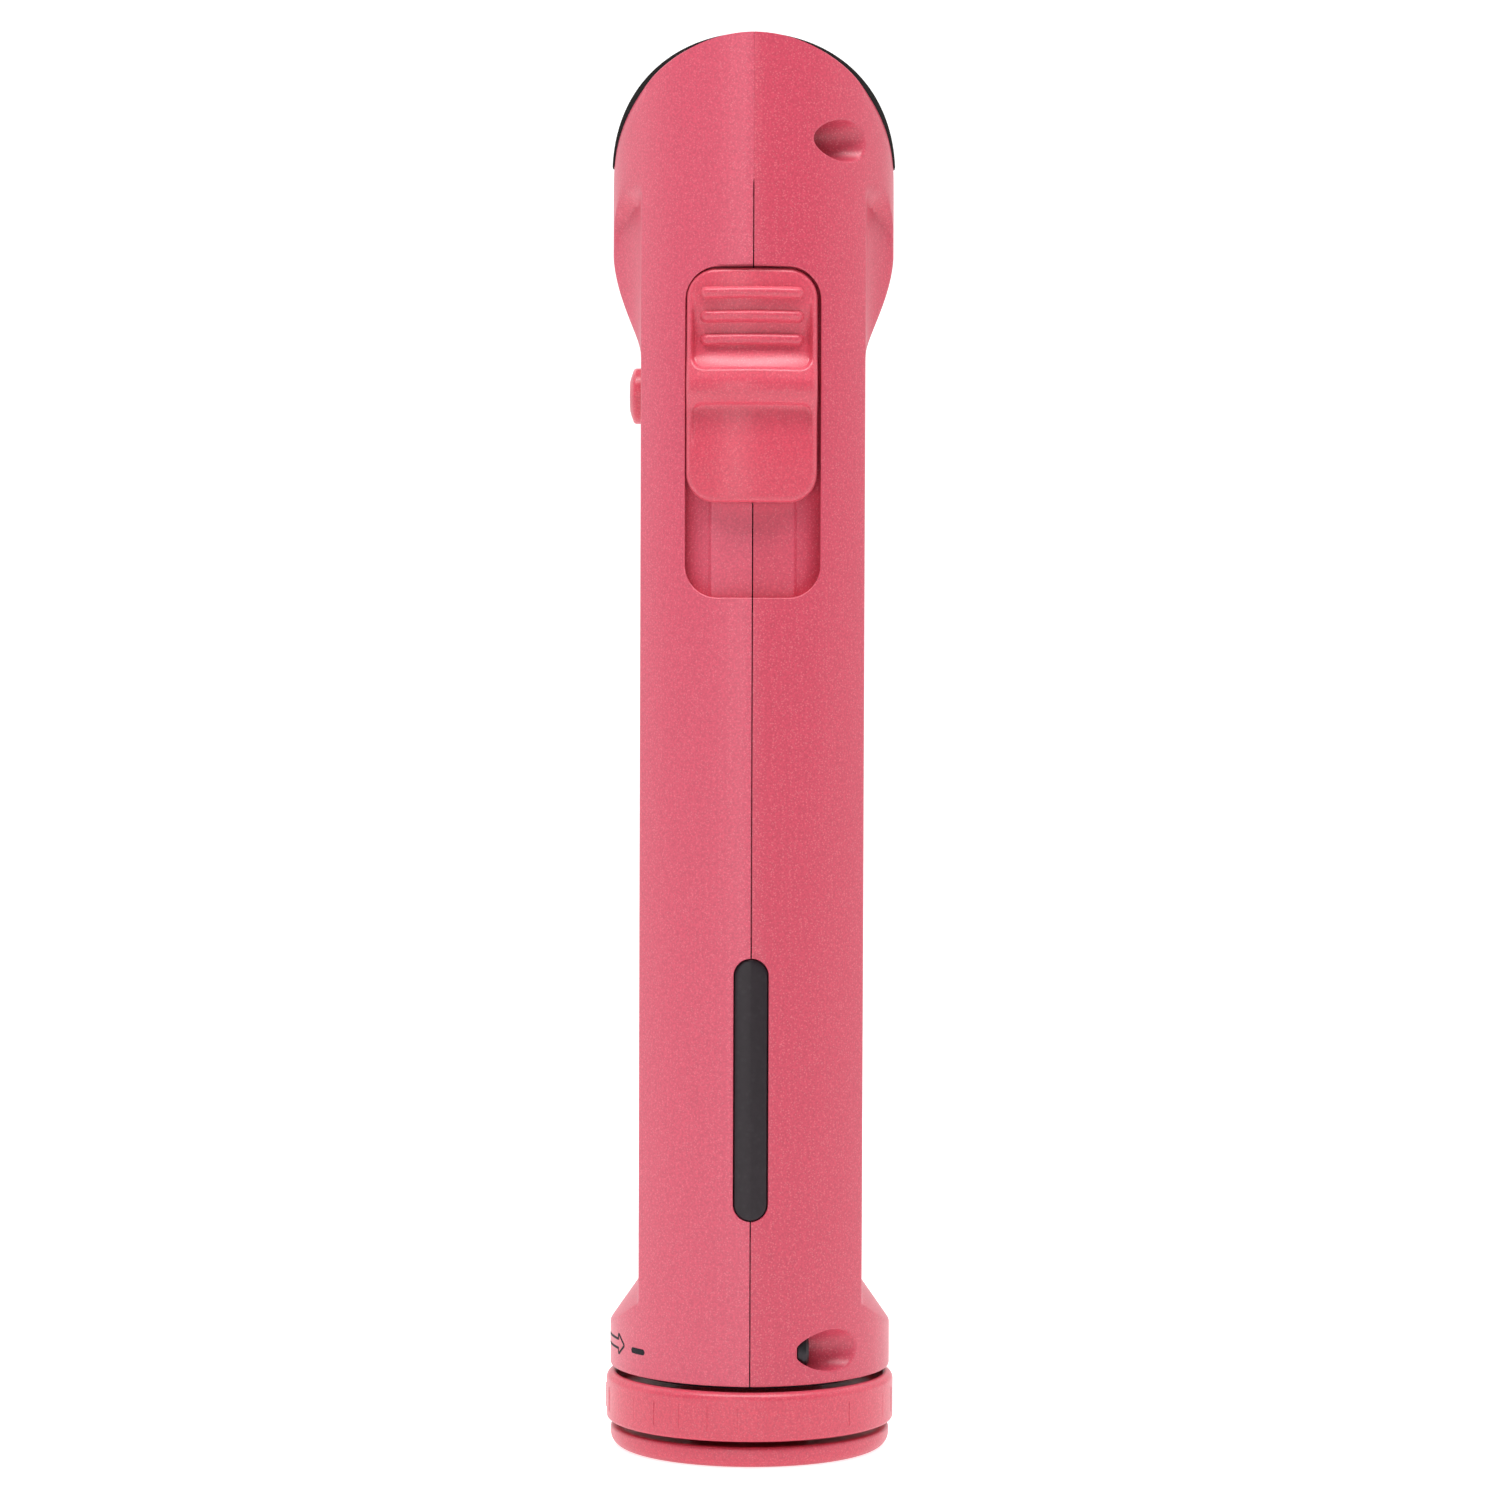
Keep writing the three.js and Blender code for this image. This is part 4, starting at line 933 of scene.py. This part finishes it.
def buildSlider():
    length, corner, half = sliderHigh[2] - sliderLow[2], slider["corner"], slider["half"]
    turns = np.linspace(0, math.pi / 2, 22)
    ends = corner * (1 - np.cos(turns))
    rows = np.concatenate([ends, np.arange(corner + 0.14, length - corner, 0.14), length - ends[::-1]])
    cross = np.linspace(-1, 1, 141)
    cross = cross + 0.16 * np.sin(math.pi * cross) / math.pi
    reach = np.minimum(rows, length - rows)
    width = half - corner + np.sqrt(corner**2 - np.maximum(corner - reach, 0) ** 2)
    x = cross[None, :] * width[:, None]
    z = np.repeat(rows[:, None], len(cross), axis=1)
    front = -np.sqrt(sliderFront(x, z) ** 2 - x**2)
    under = np.where(np.abs(x) < 6.9, -20.2, -19.6 + 2.0 * (np.abs(x) - 7) / 3.75)
    count, total = len(cross), x.size
    height = z + sliderLow[2]
    across = x + slider["play"]
    skins = [np.stack([across, depth, height], axis=-1).reshape(-1, 3) for depth in (front, under)]
    points = np.concatenate(skins)
    faces = gridFaces(len(rows), count)
    faces += [tuple(reversed(face)) for face in gridFaces(len(rows), count, start=total)]
    for i in range(len(rows) - 1):
        for j in (0, count - 1):
            a, b = i * count + j, (i + 1) * count + j
            faces.append((a, b, b + total, a + total))
    for j in range(count - 1):
        for i in (0, len(rows) - 1):
            a, b = i * count + j, i * count + j + 1
            faces.append((a, b, b + total, a + total))
    pad = makeObject("thumb_pad", points, faces)
    stemHigh = sliderHigh[2] - 15.4
    stem = prism("stem", rounded(boxPath(-3, 3, stemHigh - 6.5, stemHigh), 0.8), "y", -20.3, -18.1, edge=0.1)
    return joined(pad, stem)


dress(buildSlider(), "thumb_lock", pinkTouch, ["thumb_slider"], angle=40)
print("slider made")


# lock ring and foot
def arc(centre, radius, start, end, steps=8):
    turns = np.radians(np.linspace(start, end, steps))
    return [(centre[0] + radius * math.cos(t), centre[1] + radius * math.sin(t)) for t in turns]


ring = {
    "round": 1.3,
    "lowRound": 0.7,
    "rimInner": 21.9,
    "rimStep": 0.3,
    "trough": 2.4,
    "troughInner": 12,
    "bore": 5.2,
    "hubGap": 0.3,
    "inner": 9.3,
    "marks": 30,
    "offset": -5.0,
    "markHalf": 0.13,
    "proud": 0.1,
    "seed": 7,
}
ringRadius = ringHigh[0]
footRadius = footHigh[0]
insertTop = edges("tripod_insert")[1][2]
hubTop = insertTop + 1.2


def buildRing():
    low, high, r, small = ringLow[2], ringHigh[2], ring["round"], ring["lowRound"]
    rim, wall, bore, inner = ring["rimInner"], ring["troughInner"], ring["bore"], ring["inner"]
    trough, hub = high - ring["trough"], hubTop + ring["hubGap"]
    profile = arc((ringRadius - small, low + small), small, -90, 0)
    profile += arc((ringRadius - r, high - r), r, 0, 90, 12)
    profile += [(rim, high - ring["rimStep"]), (rim, trough), (wall, trough), (wall, high)]
    profile += [(bore, high), (bore, hub), (inner, hub), (inner, low)]
    band = lathe("grip_ring", profile, 256)
    reach = ringRadius + ring["proud"]
    path = rounded(boxPath(-ring["markHalf"], ring["markHalf"], low + 1.6, high - 2.2), 0.15, steps=4)
    mark = prism("mark", path, "y", -reach, -ringRadius + 0.4, edge=0.06)
    mark.data.transform(Matrix.Rotation(math.radians(ring["offset"]), 4, "Z"))
    holder = emptyHolder("ring_marks")
    values = {"Item": mark, "Count": ring["marks"], "Seed": ring["seed"], "Least": 0.9952}
    values["Material"] = pinkTouch
    return joined(band, runTree(holder, copiesRound, values))


dress(buildRing(), "lock_ring", pinkTouch, ["lock_ring"])


foot = {
    "round": 2.2,
    "topRound": 0.5,
    "rimInner": 21.7,
    "trough": 1.1,
    "hubOuter": 9.5,
    "draft": 0.1,
    "bore": 6.3,
    "padDepth": 1.6,
    "padRadius": 19.3,
    "ease": 0.3,
}


def buildFoot():
    high, r, small = footHigh[2], foot["round"], foot["topRound"]
    rim, hub, draft, bore = foot["rimInner"], foot["hubOuter"], foot["draft"], foot["bore"]
    trough, depth, wide = high - foot["trough"], foot["padDepth"], foot["padRadius"]
    profile = arc((footRadius - r, r), r, -90, 0, 12)
    profile += arc((footRadius - small, high - small), small, 0, 90, 5)
    profile += [(rim, high), (rim - draft, trough), (hub + draft, trough), (hub, high)]
    profile += [(bore, high), (bore, depth), (wide, depth), (wide, foot["ease"])]
    profile += [(wide + foot["ease"], 0.0)]
    return lathe("foot_plate", profile, 200)


dress(buildFoot(), "foot", pinkTouch, ["foot_disc"])


def buildFootPad():
    top = edges("foot_pad")[1]
    profile = [(8, top[2]), (8, 0.25), (8.25, 0.0)]
    for radius in np.arange(9.5, 18.2, 1.5):  # rings moulded into the tread
        profile += [(radius, 0.0), (radius + 0.15, 0.35), (radius + 0.5, 0.35), (radius + 0.65, 0.0)]
    profile += [(top[0] - 0.3, 0.0), (top[0], 0.3), (top[0], top[2])]
    return lathe("foot_tread", profile, 128)


dress(buildFootPad(), "foot", blackRubber, ["foot_pad"], angle=25)


def buildInsert():
    low, high = edges("tripod_insert")
    bore, outer = 3.2, high[0]
    profile = [(outer, low[2] + 0.3), (outer, high[2] - 0.3), (outer - 0.3, high[2]), (bore, high[2])]
    for z in np.arange(high[2] - 0.6, low[2] + 1.4, -1.27):  # the camera thread, one ridge per turn
        profile += [(bore, z), (bore - 0.45, z - 0.5), (bore - 0.45, z - 0.62), (bore, z - 1.1)]
    profile += [(bore, low[2] + 0.8), (bore + 0.6, low[2]), (outer - 0.3, low[2])]
    return lathe("tripod_thread", profile, 96)


dress(buildInsert(), "foot", turnedBrass, ["tripod_insert"], angle=25)
print("foot made")


# shutter button, window and head trims
button = {
    "radius": 4.5,
    "round": 0.6,
    "rim": 18.8,
    "stem": 1.5,
    "flange": 5.5,
    "flangeBack": 14.7,
    "flangeFront": 15.7,
    "dish": [(3.2, 0.22), (2.4, 0.0), (2.0, 0.03), (1.2, 0.14), (0, 0.18)],
}


def buildButton():
    tip, inner, radius, r = -buttonLow[0], -buttonHigh[0], button["radius"], button["round"]
    stem, flange = button["stem"], button["flange"]
    back, front = button["flangeBack"], button["flangeFront"]
    profile = [(0, inner), (stem, inner), (stem, back), (flange, back), (flange, front), (radius, front)]
    profile += arc((radius - r, button["rim"]), r, 0, 60, 6)
    profile += [(reach, tip - drop) for reach, drop in button["dish"]]
    made = lathe("shutter_cap", profile, 96, axis="x", centre=(buttonY, buttonZ), shut=False)
    made.data.transform(mirror)
    made.data.flip_normals()
    return made


dress(buildButton(), "shutter_button", pinkTouch, ["shutter_button"])


def buildWindow():
    low, high = lensLow[2] + 1.5, lensHigh[2] - 1.5
    outline = stadium(2.65, low, high, steps=32)
    rings = [spread("y", outline[:, 0], outline[:, 1], -20.2)]
    eased = ((0, 0.32), (0.06, 0.16), (0.2, 0.06), (0.4, 0.02), (0.8, 0.0), (1.6, 0.0), (2.4, 0.0))
    for inset, back in eased:
        path = grown(outline, -inset)
        rings.append(spread("y", path[:, 0], path[:, 1], frontY(path[:, 0], 0.12 + back)))
    return loft("smoked_window", rings)


dress(buildWindow(), "handle", smokedLens, ["window_lens"])

bumper = {"proud": 0.12, "swell": 0.46, "inner": -0.5, "behindRim": 1.25, "round": 0.22, "start": 3.5}


def buildBumper():
    rings = []
    for turn in np.linspace(math.radians(bumper["start"]), math.radians(180 - bumper["start"]), 180):
        x0 = grip["headHalf"] * math.cos(turn)
        front = min(float(frontY(np.array(abs(x0) * 0.985))) + bumper["behindRim"], -1.2)
        proud = bumper["proud"] + bumper["swell"] * math.sin(2 * min(turn, math.pi - turn)) ** 2
        size = np.array([math.cos(turn) * grip["domeHeight"], math.sin(turn) * grip["headHalf"]])
        away = size / np.linalg.norm(size)
        path = boxPath(bumper["inner"], proud, front, grip["backY"] - 0.3)
        section = rounded(path, [0, bumper["round"], bumper["round"], 0], steps=4)
        x = x0 + away[0] * section[:, 0]
        z = domeBase + grip["domeHeight"] * math.sin(turn) + away[1] * section[:, 0]
        rings.append(np.stack([x, section[:, 1], z], axis=-1))
    return loft("head_trim", rings)


dress(buildBumper(), "handle", blackRubber, ["head_bumper"])


def buildBackPlate():
    outline = rounded(headPath(3.7), 0.8, steps=2)
    plate = prism("rear_plate", outline, "y", grip["backY"] - 1.6, grip["backY"], edge=0.25)
    places = [(0, grip["backY"], z) for z in np.arange(neckLow + 4, topZ - 11, 3.2)]
    path = stadium(0.45, -9, 9, steps=8)[:, ::-1]
    rib = prism("rib", path, "y", -0.2, 0.45, edge=0.2)
    holder = emptyHolder("plate_ribs", places)
    values = {"Item": rib, "Count": 1, "Seed": 1, "Least": 1.0, "Material": blackPlastic}
    return joined(plate, runTree(holder, copiesAtPoints, values))


dress(buildBackPlate(), "handle", blackPlastic, ["head_back_plate"])


def buildScrews():
    head = [(0, 2.0), (1.9, 1.9), (2.5, 1.5), (2.8, 0.9), (2.8, 0.2), (2.6, 0), (1.1, 0)]
    for z in np.arange(-1.0, -15, -0.7):
        head += [(1.1, z), (0.8, z - 0.35)]
    head += [(0.3, -16), (0, -16)]
    item = lathe("screw", head, 40, axis="x", shut=False)
    for wide, tall in ((1.75, 0.36), (0.36, 1.75)):
        cut(item, prism("slot", rounded(boxPath(-wide, wide, -tall, tall), 0.1), "x", 1.05, 3, edge=0.02))
    holder = emptyHolder("case_screws", [(recess["floor"] + 0.3, y, z) for y, z in recess["places"].values()])
    values = {"Item": item, "Count": 4, "Seed": 1, "Least": 1.0, "Material": blackSteel}
    return runTree(holder, copiesAtPoints, values)


screwNodes = ["case_screw_" + label for label in recess["places"]]
dress(buildScrews(), "handle", blackSteel, screwNodes, angle=25)


# printed marks on the foot end of the left half
def onSkin(along, height, lift):  # arc length from the front and height to a place on the left half
    radius = grip["radius"] + grip["crease"] + lift
    turn = along / grip["radius"]
    x = grip["crease"] - radius * np.sin(turn)
    y = grip["crease"] - radius * np.cos(turn)
    return np.stack(np.broadcast_arrays(x, y, height), axis=-1)


def printedDash(middle, middleZ, half=0.475, length=3.5, lift=0.03):
    rings = []
    for step in np.linspace(-length / 2, length / 2, 28):
        tall = math.sqrt(max(half**2 - max(abs(step) - length / 2 + half, 0) ** 2, 0.0004))
        low, high = middleZ - tall, middleZ + tall
        corners = [(low, -0.08), (high, -0.08), (high, lift), (low, lift)]
        rings.append(np.array([onSkin(middle + step, z, depth) for z, depth in corners]))
    return loft("turn_marks", rings)


def printedStroke(name, path, middleZ, half=0.2, lift=0.03):
    shut = np.concatenate([path, path[:1]])
    path = evenly(shut, 260)[:-1]
    rings = []
    for side, depth in ((-half, -0.08), (-half, lift), (half, lift), (half, -0.08)):
        edge = grown(path, side)
        rings.append(onSkin(edge[:, 0], edge[:, 1] + middleZ, depth))
    faces = gridFaces(4, len(path), roundColumns=True, roundRows=True)
    return makeObject(name, np.concatenate(rings), faces)


def alongArc(degrees):
    return math.radians(degrees) * grip["radius"]


def buildPrint():
    tip, back = alongArc(63), alongArc(63) + 2.4
    tail = back + 7
    arrow = [(tip, 0), (back, 1.75), (back, 0.75), (tail, 0.75), (tail, -0.75), (back, -0.75), (back, -1.75)]
    path = rounded(arrow, [0.25, 0.2, 0.1, 0.2, 0.2, 0.1, 0.2], steps=3)
    return joined(printedDash(alongArc(53), 17.2), printedStroke("arrow", path, 17.5))


dress(buildPrint(), "handle", printInk)
print("trims made")


# mast and phone disc
collar = {"bore": 7.5, "stem": 8.2, "ease": 0.3, "round": 0.5, "groove": 1.1, "grooveDepth": 0.25}


def buildCollar():
    low, high, bore, stem = collarLow[2], collarHigh[2], collar["bore"], collar["stem"]
    wide, ease, r = collarHigh[1] - mastY, collar["ease"], collar["round"]
    groove, under = high - collar["groove"], shoulder + ease
    profile = [(bore, high - ease), (bore + ease, high), (wide - r, high), (wide, high - r)]
    profile += [(wide, groove), (wide - collar["grooveDepth"], groove - ease / 2), (wide, groove - ease)]
    profile += [(wide, under), (stem, under), (stem, low), (bore, low)]
    made = lathe("mast_collar_trim", profile, 120, centre=(0, mastY))
    clip = np.array(boxPath(-20, 20, low - 1, high + 1))
    return cut(made, prism("clip", clip, "y", -10, collarLow[1], edge=0.01))


dress(buildCollar(), "handle", blackPlastic, ["mast_collar"])


def buildTube(stage):
    node = f"mast_tube_{stage}"
    low, high = edges(node)
    outer = (high[0] - low[0]) / 2
    bore = outer - 0.6
    profile = [(bore, low[2]), (outer, low[2]), (outer, high[2] - 0.35)]
    profile += arc((outer - 0.35, high[2] - 0.3), 0.3, 0, 90, 6)
    profile += [(bore + 0.06, high[2] - 0.05), (bore - 0.05, high[2] - 0.3), (bore, high[2] - 0.8)]
    return lathe(f"mast_stage_tube_{stage}", profile, 96, centre=(0, mastY))


for stage in (1, 2, 3, 4):
    dress(buildTube(stage), f"mast_stage_{stage}", mastSteel, [f"mast_tube_{stage}"])


def refined(node, width, body, material, segments=2):  # the model's own shape with eased edges
    source = nodes[node]
    made = bpy.data.objects.new(node + "_eased", source.data.copy())
    bpy.context.scene.collection.objects.link(made)
    work = bmesh.new()
    work.from_mesh(made.data)
    bmesh.ops.remove_doubles(work, verts=work.verts, dist=2e-6)
    bmesh.ops.dissolve_limit(work, angle_limit=math.radians(1), verts=work.verts, edges=work.edges)
    bmesh.ops.recalc_face_normals(work, faces=work.faces)
    work.to_mesh(made.data)
    work.free()
    step = made.modifiers.new("ease", "BEVEL")
    step.width = width * mm
    step.segments = segments
    step.angle_limit = math.radians(35)
    step.harden_normals = False
    bake(made)
    dress(made, body, material, [node], angle=30)


refined("mast_knuckle", 0.25, "mast_stage_4", blackPlastic)
refined("tilt_arm", 0.3, "tilt_arm", blackPlastic)
refined("bearing_plate", 0.15, "handle", blackPlastic)


def buildPin():
    half, radius = pinHigh[0], (pinHigh[2] - pinLow[2]) / 2
    centre = ((pinLow[1] + pinHigh[1]) / 2, (pinLow[2] + pinHigh[2]) / 2)
    ease = 0.3
    profile = [(0, -half), (radius - ease, -half), (radius, -half + ease)]
    profile += [(radius, half - ease), (radius - ease, half)]
    profile += [(radius * 0.45, half), (radius * 0.35, half - 0.2), (0, half - 0.2)]
    return lathe("hinge_pin", profile, 48, axis="x", centre=centre, shut=False)


dress(buildPin(), "mast_stage_4", zincSteel, ["tilt_pin"])


disc = {
    "bore": 2.3,
    "groove": 12.5,
    "grooveStep": 0.3,
    "grooveDepth": 0.25,
    "round": 1.8,
    "rimRound": 0.4,
    "padRadius": 20.8,
    "padDepth": 1.2,
    "hollow": 19.2,
    "wall": 2.4,
}


def buildDiscBack():
    front, rear, wide = discLow[1], discHigh[1], discHigh[0]
    bore, r, small, step = disc["bore"], disc["round"], disc["rimRound"], disc["grooveStep"]
    groove, pad, hollow = disc["groove"], disc["padRadius"], disc["hollow"]
    shelf, wall = rear - disc["padDepth"], front + disc["wall"]
    profile = [(bore, front), (groove, front), (groove + step, front + disc["grooveDepth"])]
    profile += [(groove + 2 * step, front)] + arc((wide - r, front + r), r, -90, 0, 10)
    profile += arc((wide - small, rear - small), small, 0, 90, 5)
    profile += [(pad, rear), (pad, shelf), (hollow, shelf), (hollow, wall), (bore, wall)]
    return lathe("disc_shell", profile, 200, axis="y", centre=(0, discZ))


dress(buildDiscBack(), "phone_disc", pinkTouch, ["disc_back"])


def buildDiscPad():
    front, rear, wide = padLow[1], padHigh[1], padHigh[0]
    profile = [(0, front), (wide - 0.3, front), (wide, front + 0.3), (wide, rear - 0.5), (wide - 0.5, rear)]
    groove = ((0, 0), (0.15, 0.25), (0.45, 0.25), (0.6, 0))
    for radius in np.arange(wide - 2, 3, -1.6):
        profile += [(radius - step, rear - drop) for step, drop in groove]
    profile += [(0, rear)]
    return lathe("phone_face_pad", profile, 160, axis="y", centre=(0, discZ), shut=False)


dress(buildDiscPad(), "phone_disc", blackRubber, ["disc_pad"], angle=25)
print("mast and disc made")

# finishes of the pieces inside
inside = {
    "light_board": boardGreen,
    "main_board": boardGreen,
    "battery_cell": cellWrap,
    "battery_cradle": blackPlastic,
    "charging_socket": zincSteel,
    "shutter_switch": blackPlastic,
    "brake_guide": nylon,
    "thrust_washer": nylon,
    "guide_tube": blackPlastic,
    "slider_plate": nylon,
    "slider_screw": zincSteel,
    "brake_shoe": nylon,
    "brake_pad": blackRubber,
    "brake_pin": zincSteel,
    "spindle": blackPlastic,
    "spindle_nut": zincSteel,
    "magnet_ring": zincSteel,
    "disc_screw": zincSteel,
}
inside.update({f"mast_bush_{stage}": nylon for stage in (1, 2, 3, 4)})
for node, material in inside.items():
    nodes[node].data.materials.clear()
    nodes[node].data.materials.append(material)
print("inner pieces finished")

# camera, light and floor
view = {"lens": 98.5, "place": (-0.0003, -0.672, 0.1279), "pitch": -1.2, "roll": 0.2}
camera = bpy.data.objects.new("camera", bpy.data.cameras.new("camera"))
camera.data.lens = view["lens"]
camera.data.sensor_width = 36.0
camera.data.clip_start = 0.01
tilt = Matrix.Rotation(math.radians(90 + view["pitch"]), 4, "X")
roll = Matrix.Rotation(math.radians(view["roll"]), 4, "Z")
camera.matrix_world = Matrix.Translation(view["place"]) @ (tilt @ roll)
bpy.context.scene.collection.objects.link(camera)
bpy.context.scene.camera = camera


def areaLight(name, place, target, size, power):
    data = bpy.data.lights.new(name, "AREA")
    data.shape = "RECTANGLE"
    data.size, data.size_y = size
    data.energy = power
    lamp = bpy.data.objects.new(name, data)
    lamp.location = place
    lamp.rotation_euler = (Vector(target) - Vector(place)).to_track_quat("-Z", "Y").to_euler()
    bpy.context.scene.collection.objects.link(lamp)
    return lamp


middle = (0, 0, 0.114)
areaLight("left_key", (-0.22, -0.95, 0.16), middle, (0.34, 0.8), 1.75)
areaLight("top", (0.0, -0.22, 0.75), middle, (0.75, 0.2), 5.0)
areaLight("right_fill", (0.85, -0.30, 0.15), middle, (0.3, 0.9), 0.5)
areaLight("rear_rim", (0.0, 0.55, 0.75), middle, (1.1, 0.4), 2.5)

world = bpy.data.worlds.new("studio")
bpy.context.scene.world = world
world.use_nodes = True
world.node_tree.nodes["Background"].inputs["Color"].default_value = (1, 1, 1, 1)
skyTree = world.node_tree  # bright behind the object and dimmer on the camera's side
direction = skyTree.nodes.new("ShaderNodeTexCoord").outputs["Generated"]
parts = skyTree.nodes.new("ShaderNodeSeparateXYZ")
skyTree.links.new(direction, parts.inputs[0])
glow = skyTree.nodes.new("ShaderNodeMapRange")
glow.inputs["From Min"].default_value = -0.35
glow.inputs["From Max"].default_value = 0.12
glow.inputs["To Min"].default_value = 0.07
glow.inputs["To Max"].default_value = 1.15
skyTree.links.new(parts.outputs["Y"], glow.inputs["Value"])
seen = skyTree.nodes.new("ShaderNodeLightPath").outputs["Is Camera Ray"]  # the backdrop itself stays white
strength = mathNode(skyTree, "MAXIMUM", glow.outputs["Result"], seen)
skyTree.links.new(strength, skyTree.nodes["Background"].inputs["Strength"])
bpy.context.scene.view_settings.view_transform = "Standard"


def sweep():  # a pale floor that curves up into a wall
    path = [(-1.2, 0.0), (0.7, 0.0), (0.95, 0.0), (1.2, 0.25), (1.2, 1.6)]
    path = rounded([(a * 1000, b * 1000) for a, b in path], [0, 0, 200, 200, 0], steps=12, shut=False)
    points, faces = [], []
    for a, b in path:
        points += [(-2200, a, b), (2200, a, b)]
    for k in range(len(path) - 1):
        faces.append((2 * k, 2 * k + 1, 2 * k + 3, 2 * k + 2))
    mesh = bpy.data.meshes.new("floor")
    mesh.from_pydata([tuple(v * mm for v in p) for p in points], [], faces)
    mesh.shade_smooth()
    made = bpy.data.objects.new("floor", mesh)
    bpy.context.scene.collection.objects.link(made)
    material, tree, shader = startMaterial("paper", (0.6, 0.6, 0.6), 0.9)
    shader.inputs["Emission Color"].default_value = (1, 1, 1, 1)
    rays = tree.nodes.new("ShaderNodeLightPath")
    glow = tree.nodes.new("ShaderNodeMapRange")
    glow.inputs["To Min"].default_value = 0.6
    glow.inputs["To Max"].default_value = 0.8
    tree.links.new(rays.outputs["Is Camera Ray"], glow.inputs["Value"])
    tree.links.new(glow.outputs["Result"], shader.inputs["Emission Strength"])
    mesh.materials.append(material)


sweep()
